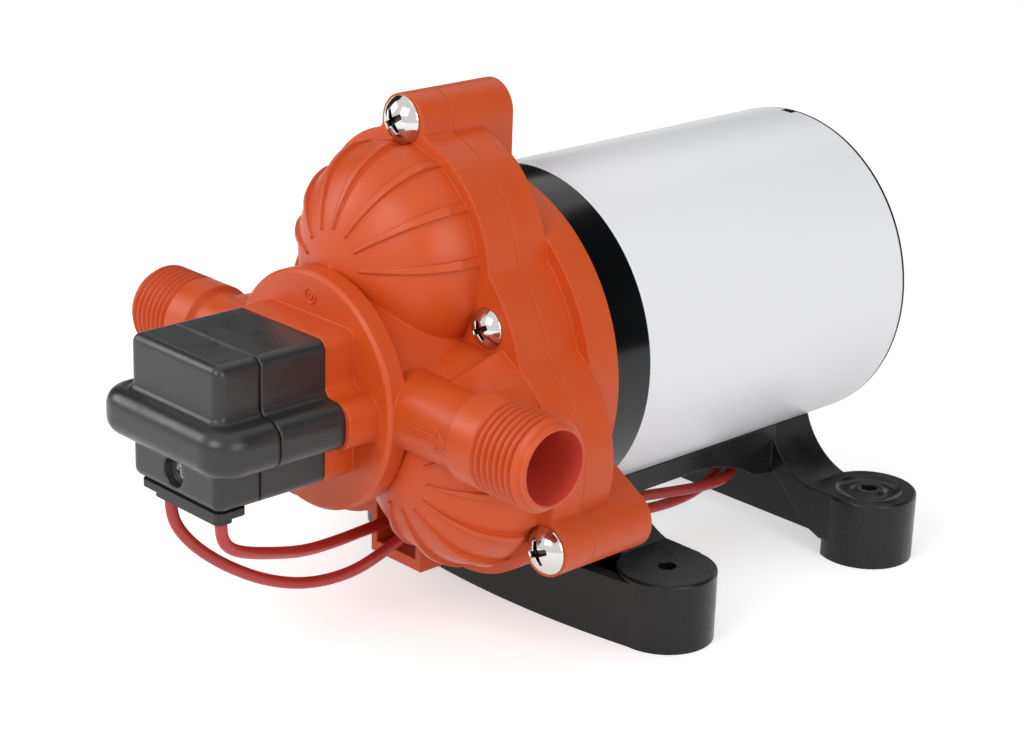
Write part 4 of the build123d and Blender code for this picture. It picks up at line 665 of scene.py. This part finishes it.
def place_floor():
    """A wide white floor that keeps a soft shadow, under a white room."""
    world = bpy.data.worlds.new("room")
    world.use_nodes = True
    background = world.node_tree.nodes["Background"]
    background.inputs["Color"].default_value = (1, 1, 1, 1)
    pale_to_camera(world.node_tree, background.inputs["Strength"], settings("pump_light").room)
    bpy.context.scene.world = world

    half = 6.0
    mesh = bpy.data.meshes.new("floor")
    corners = [(-half, -half, 0), (half, -half, 0), (half, half, 0), (-half, half, 0)]
    mesh.from_pydata(corners, [], [(0, 1, 2, 3)])
    floor = bpy.data.objects.new("floor", mesh)
    material, tree, principled = shader("white_floor")
    principled.inputs["Base Color"].default_value = (0.93, 0.93, 0.93, 1)
    principled.inputs["Roughness"].default_value = 0.85
    principled.inputs["Specular IOR Level"].default_value = 0.1
    principled.inputs["Emission Color"].default_value = (1, 1, 1, 1)
    pale_to_camera(tree, principled.inputs["Emission Strength"], 0.0, FLOOR_LIFT)
    mesh.materials.append(material)
    bpy.context.scene.collection.objects.link(floor)


def towards(azimuth, elevation):
    """Direction from the object to a place in the studio: (sin a cos e, -cos a cos e, sin e), in degrees."""
    a, e = math.radians(azimuth), math.radians(elevation)
    return Vector((math.sin(a) * math.cos(e), -math.cos(a) * math.cos(e), math.sin(e)))


def face_pump(thing, azimuth, elevation, distance):
    """Put a card or a lamp at its place and turn its front to the pump."""
    direction = towards(azimuth, elevation)
    thing.location = MIDDLE + direction * distance
    thing.rotation_euler = direction.to_track_quat("Z", "Y").to_euler()
    bpy.context.scene.collection.objects.link(thing)


def place_cards():
    """Dark cards round the pump that only reflections show, as studios set them for bright metal."""
    material, _, principled = shader("dark_card")
    principled.inputs["Base Color"].default_value = (0.01, 0.01, 0.01, 1)
    principled.inputs["Roughness"].default_value = 1.0
    cards = [("card_behind", 222, 20, 0.9, 0.9, 0.34), ("card_right", 128, 6, 0.9, 0.34, 0.5),
             ("card_left", -88, 24, 0.9, 0.5, 0.9), ("card_high", 150, 36, 0.9, 1.0, 0.62)]
    for name, azimuth, elevation, distance, width, height in cards:
        mesh = bpy.data.meshes.new(name)
        mesh.from_pydata([(-width / 2, -height / 2, 0), (width / 2, -height / 2, 0),
                          (width / 2, height / 2, 0), (-width / 2, height / 2, 0)], [], [(0, 1, 2, 3)])
        mesh.materials.append(material)
        card = bpy.data.objects.new(name, mesh)
        face_pump(card, azimuth, elevation, distance)
        card.visible_camera = False
        card.visible_diffuse = False
        card.visible_shadow = False
        card.visible_transmission = False


def place_lamps():
    """Square area lamps round the object, each aimed at the middle of the pump."""
    light = settings("pump_light")
    lamps = [
        ("key", 8, 34, 1.0, 0.45, light.key),
        ("side", 84, 22, 1.0, 0.5, light.side),
        ("top", 60, 80, 1.0, 0.5, light.top),
        ("left", -52, 26, 1.0, 0.40, light.left),
    ]
    for name, azimuth, elevation, distance, size, power in lamps:
        data = bpy.data.lights.new(name, "AREA")
        data.shape = "SQUARE"
        data.size = size
        data.energy = power
        face_pump(bpy.data.objects.new(name, data), azimuth, elevation, distance)


class PUMP_PT_panel(Panel):
    """Lists the pump's pieces in the sidebar"""

    bl_idname = "PUMP_PT_panel"
    bl_label = "Pump"
    bl_space_type = "VIEW_3D"
    bl_region_type = "UI"
    bl_category = "Pump"

    def draw(self, context):
        for piece in PIECES:
            self.layout.operator(piece.bl_idname)


PIECES = (PUMP_OT_stage, PUMP_OT_housings, PUMP_OT_motor, PUMP_OT_screws, PUMP_OT_switch, PUMP_OT_feet,
          PUMP_OT_marks, PUMP_OT_leads)
GROUPS = {"pump_finish": PumpFinish, "pump_sizes": PumpSizes, "pump_view": PumpView, "pump_light": PumpLight}


def register():
    """Register the classes and hang the property groups on the scene."""
    for name, group in GROUPS.items():
        bpy.utils.register_class(group)
        setattr(bpy.types.Scene, name, PointerProperty(type=group))
    for piece in (*PIECES, PUMP_PT_panel):
        bpy.utils.register_class(piece)


def unregister():
    """Undo register."""
    for piece in reversed((*PIECES, PUMP_PT_panel)):
        bpy.utils.unregister_class(piece)
    for name, group in GROUPS.items():
        delattr(bpy.types.Scene, name)
        bpy.utils.unregister_class(group)


def main():
    """Build the whole scene."""
    register()
    bpy.context.scene.view_settings.view_transform = "Standard"
    for piece in PIECES:
        group, name = piece.bl_idname.split(".")
        getattr(getattr(bpy.ops, group), name)()


if __name__ == "__main__":
    main()
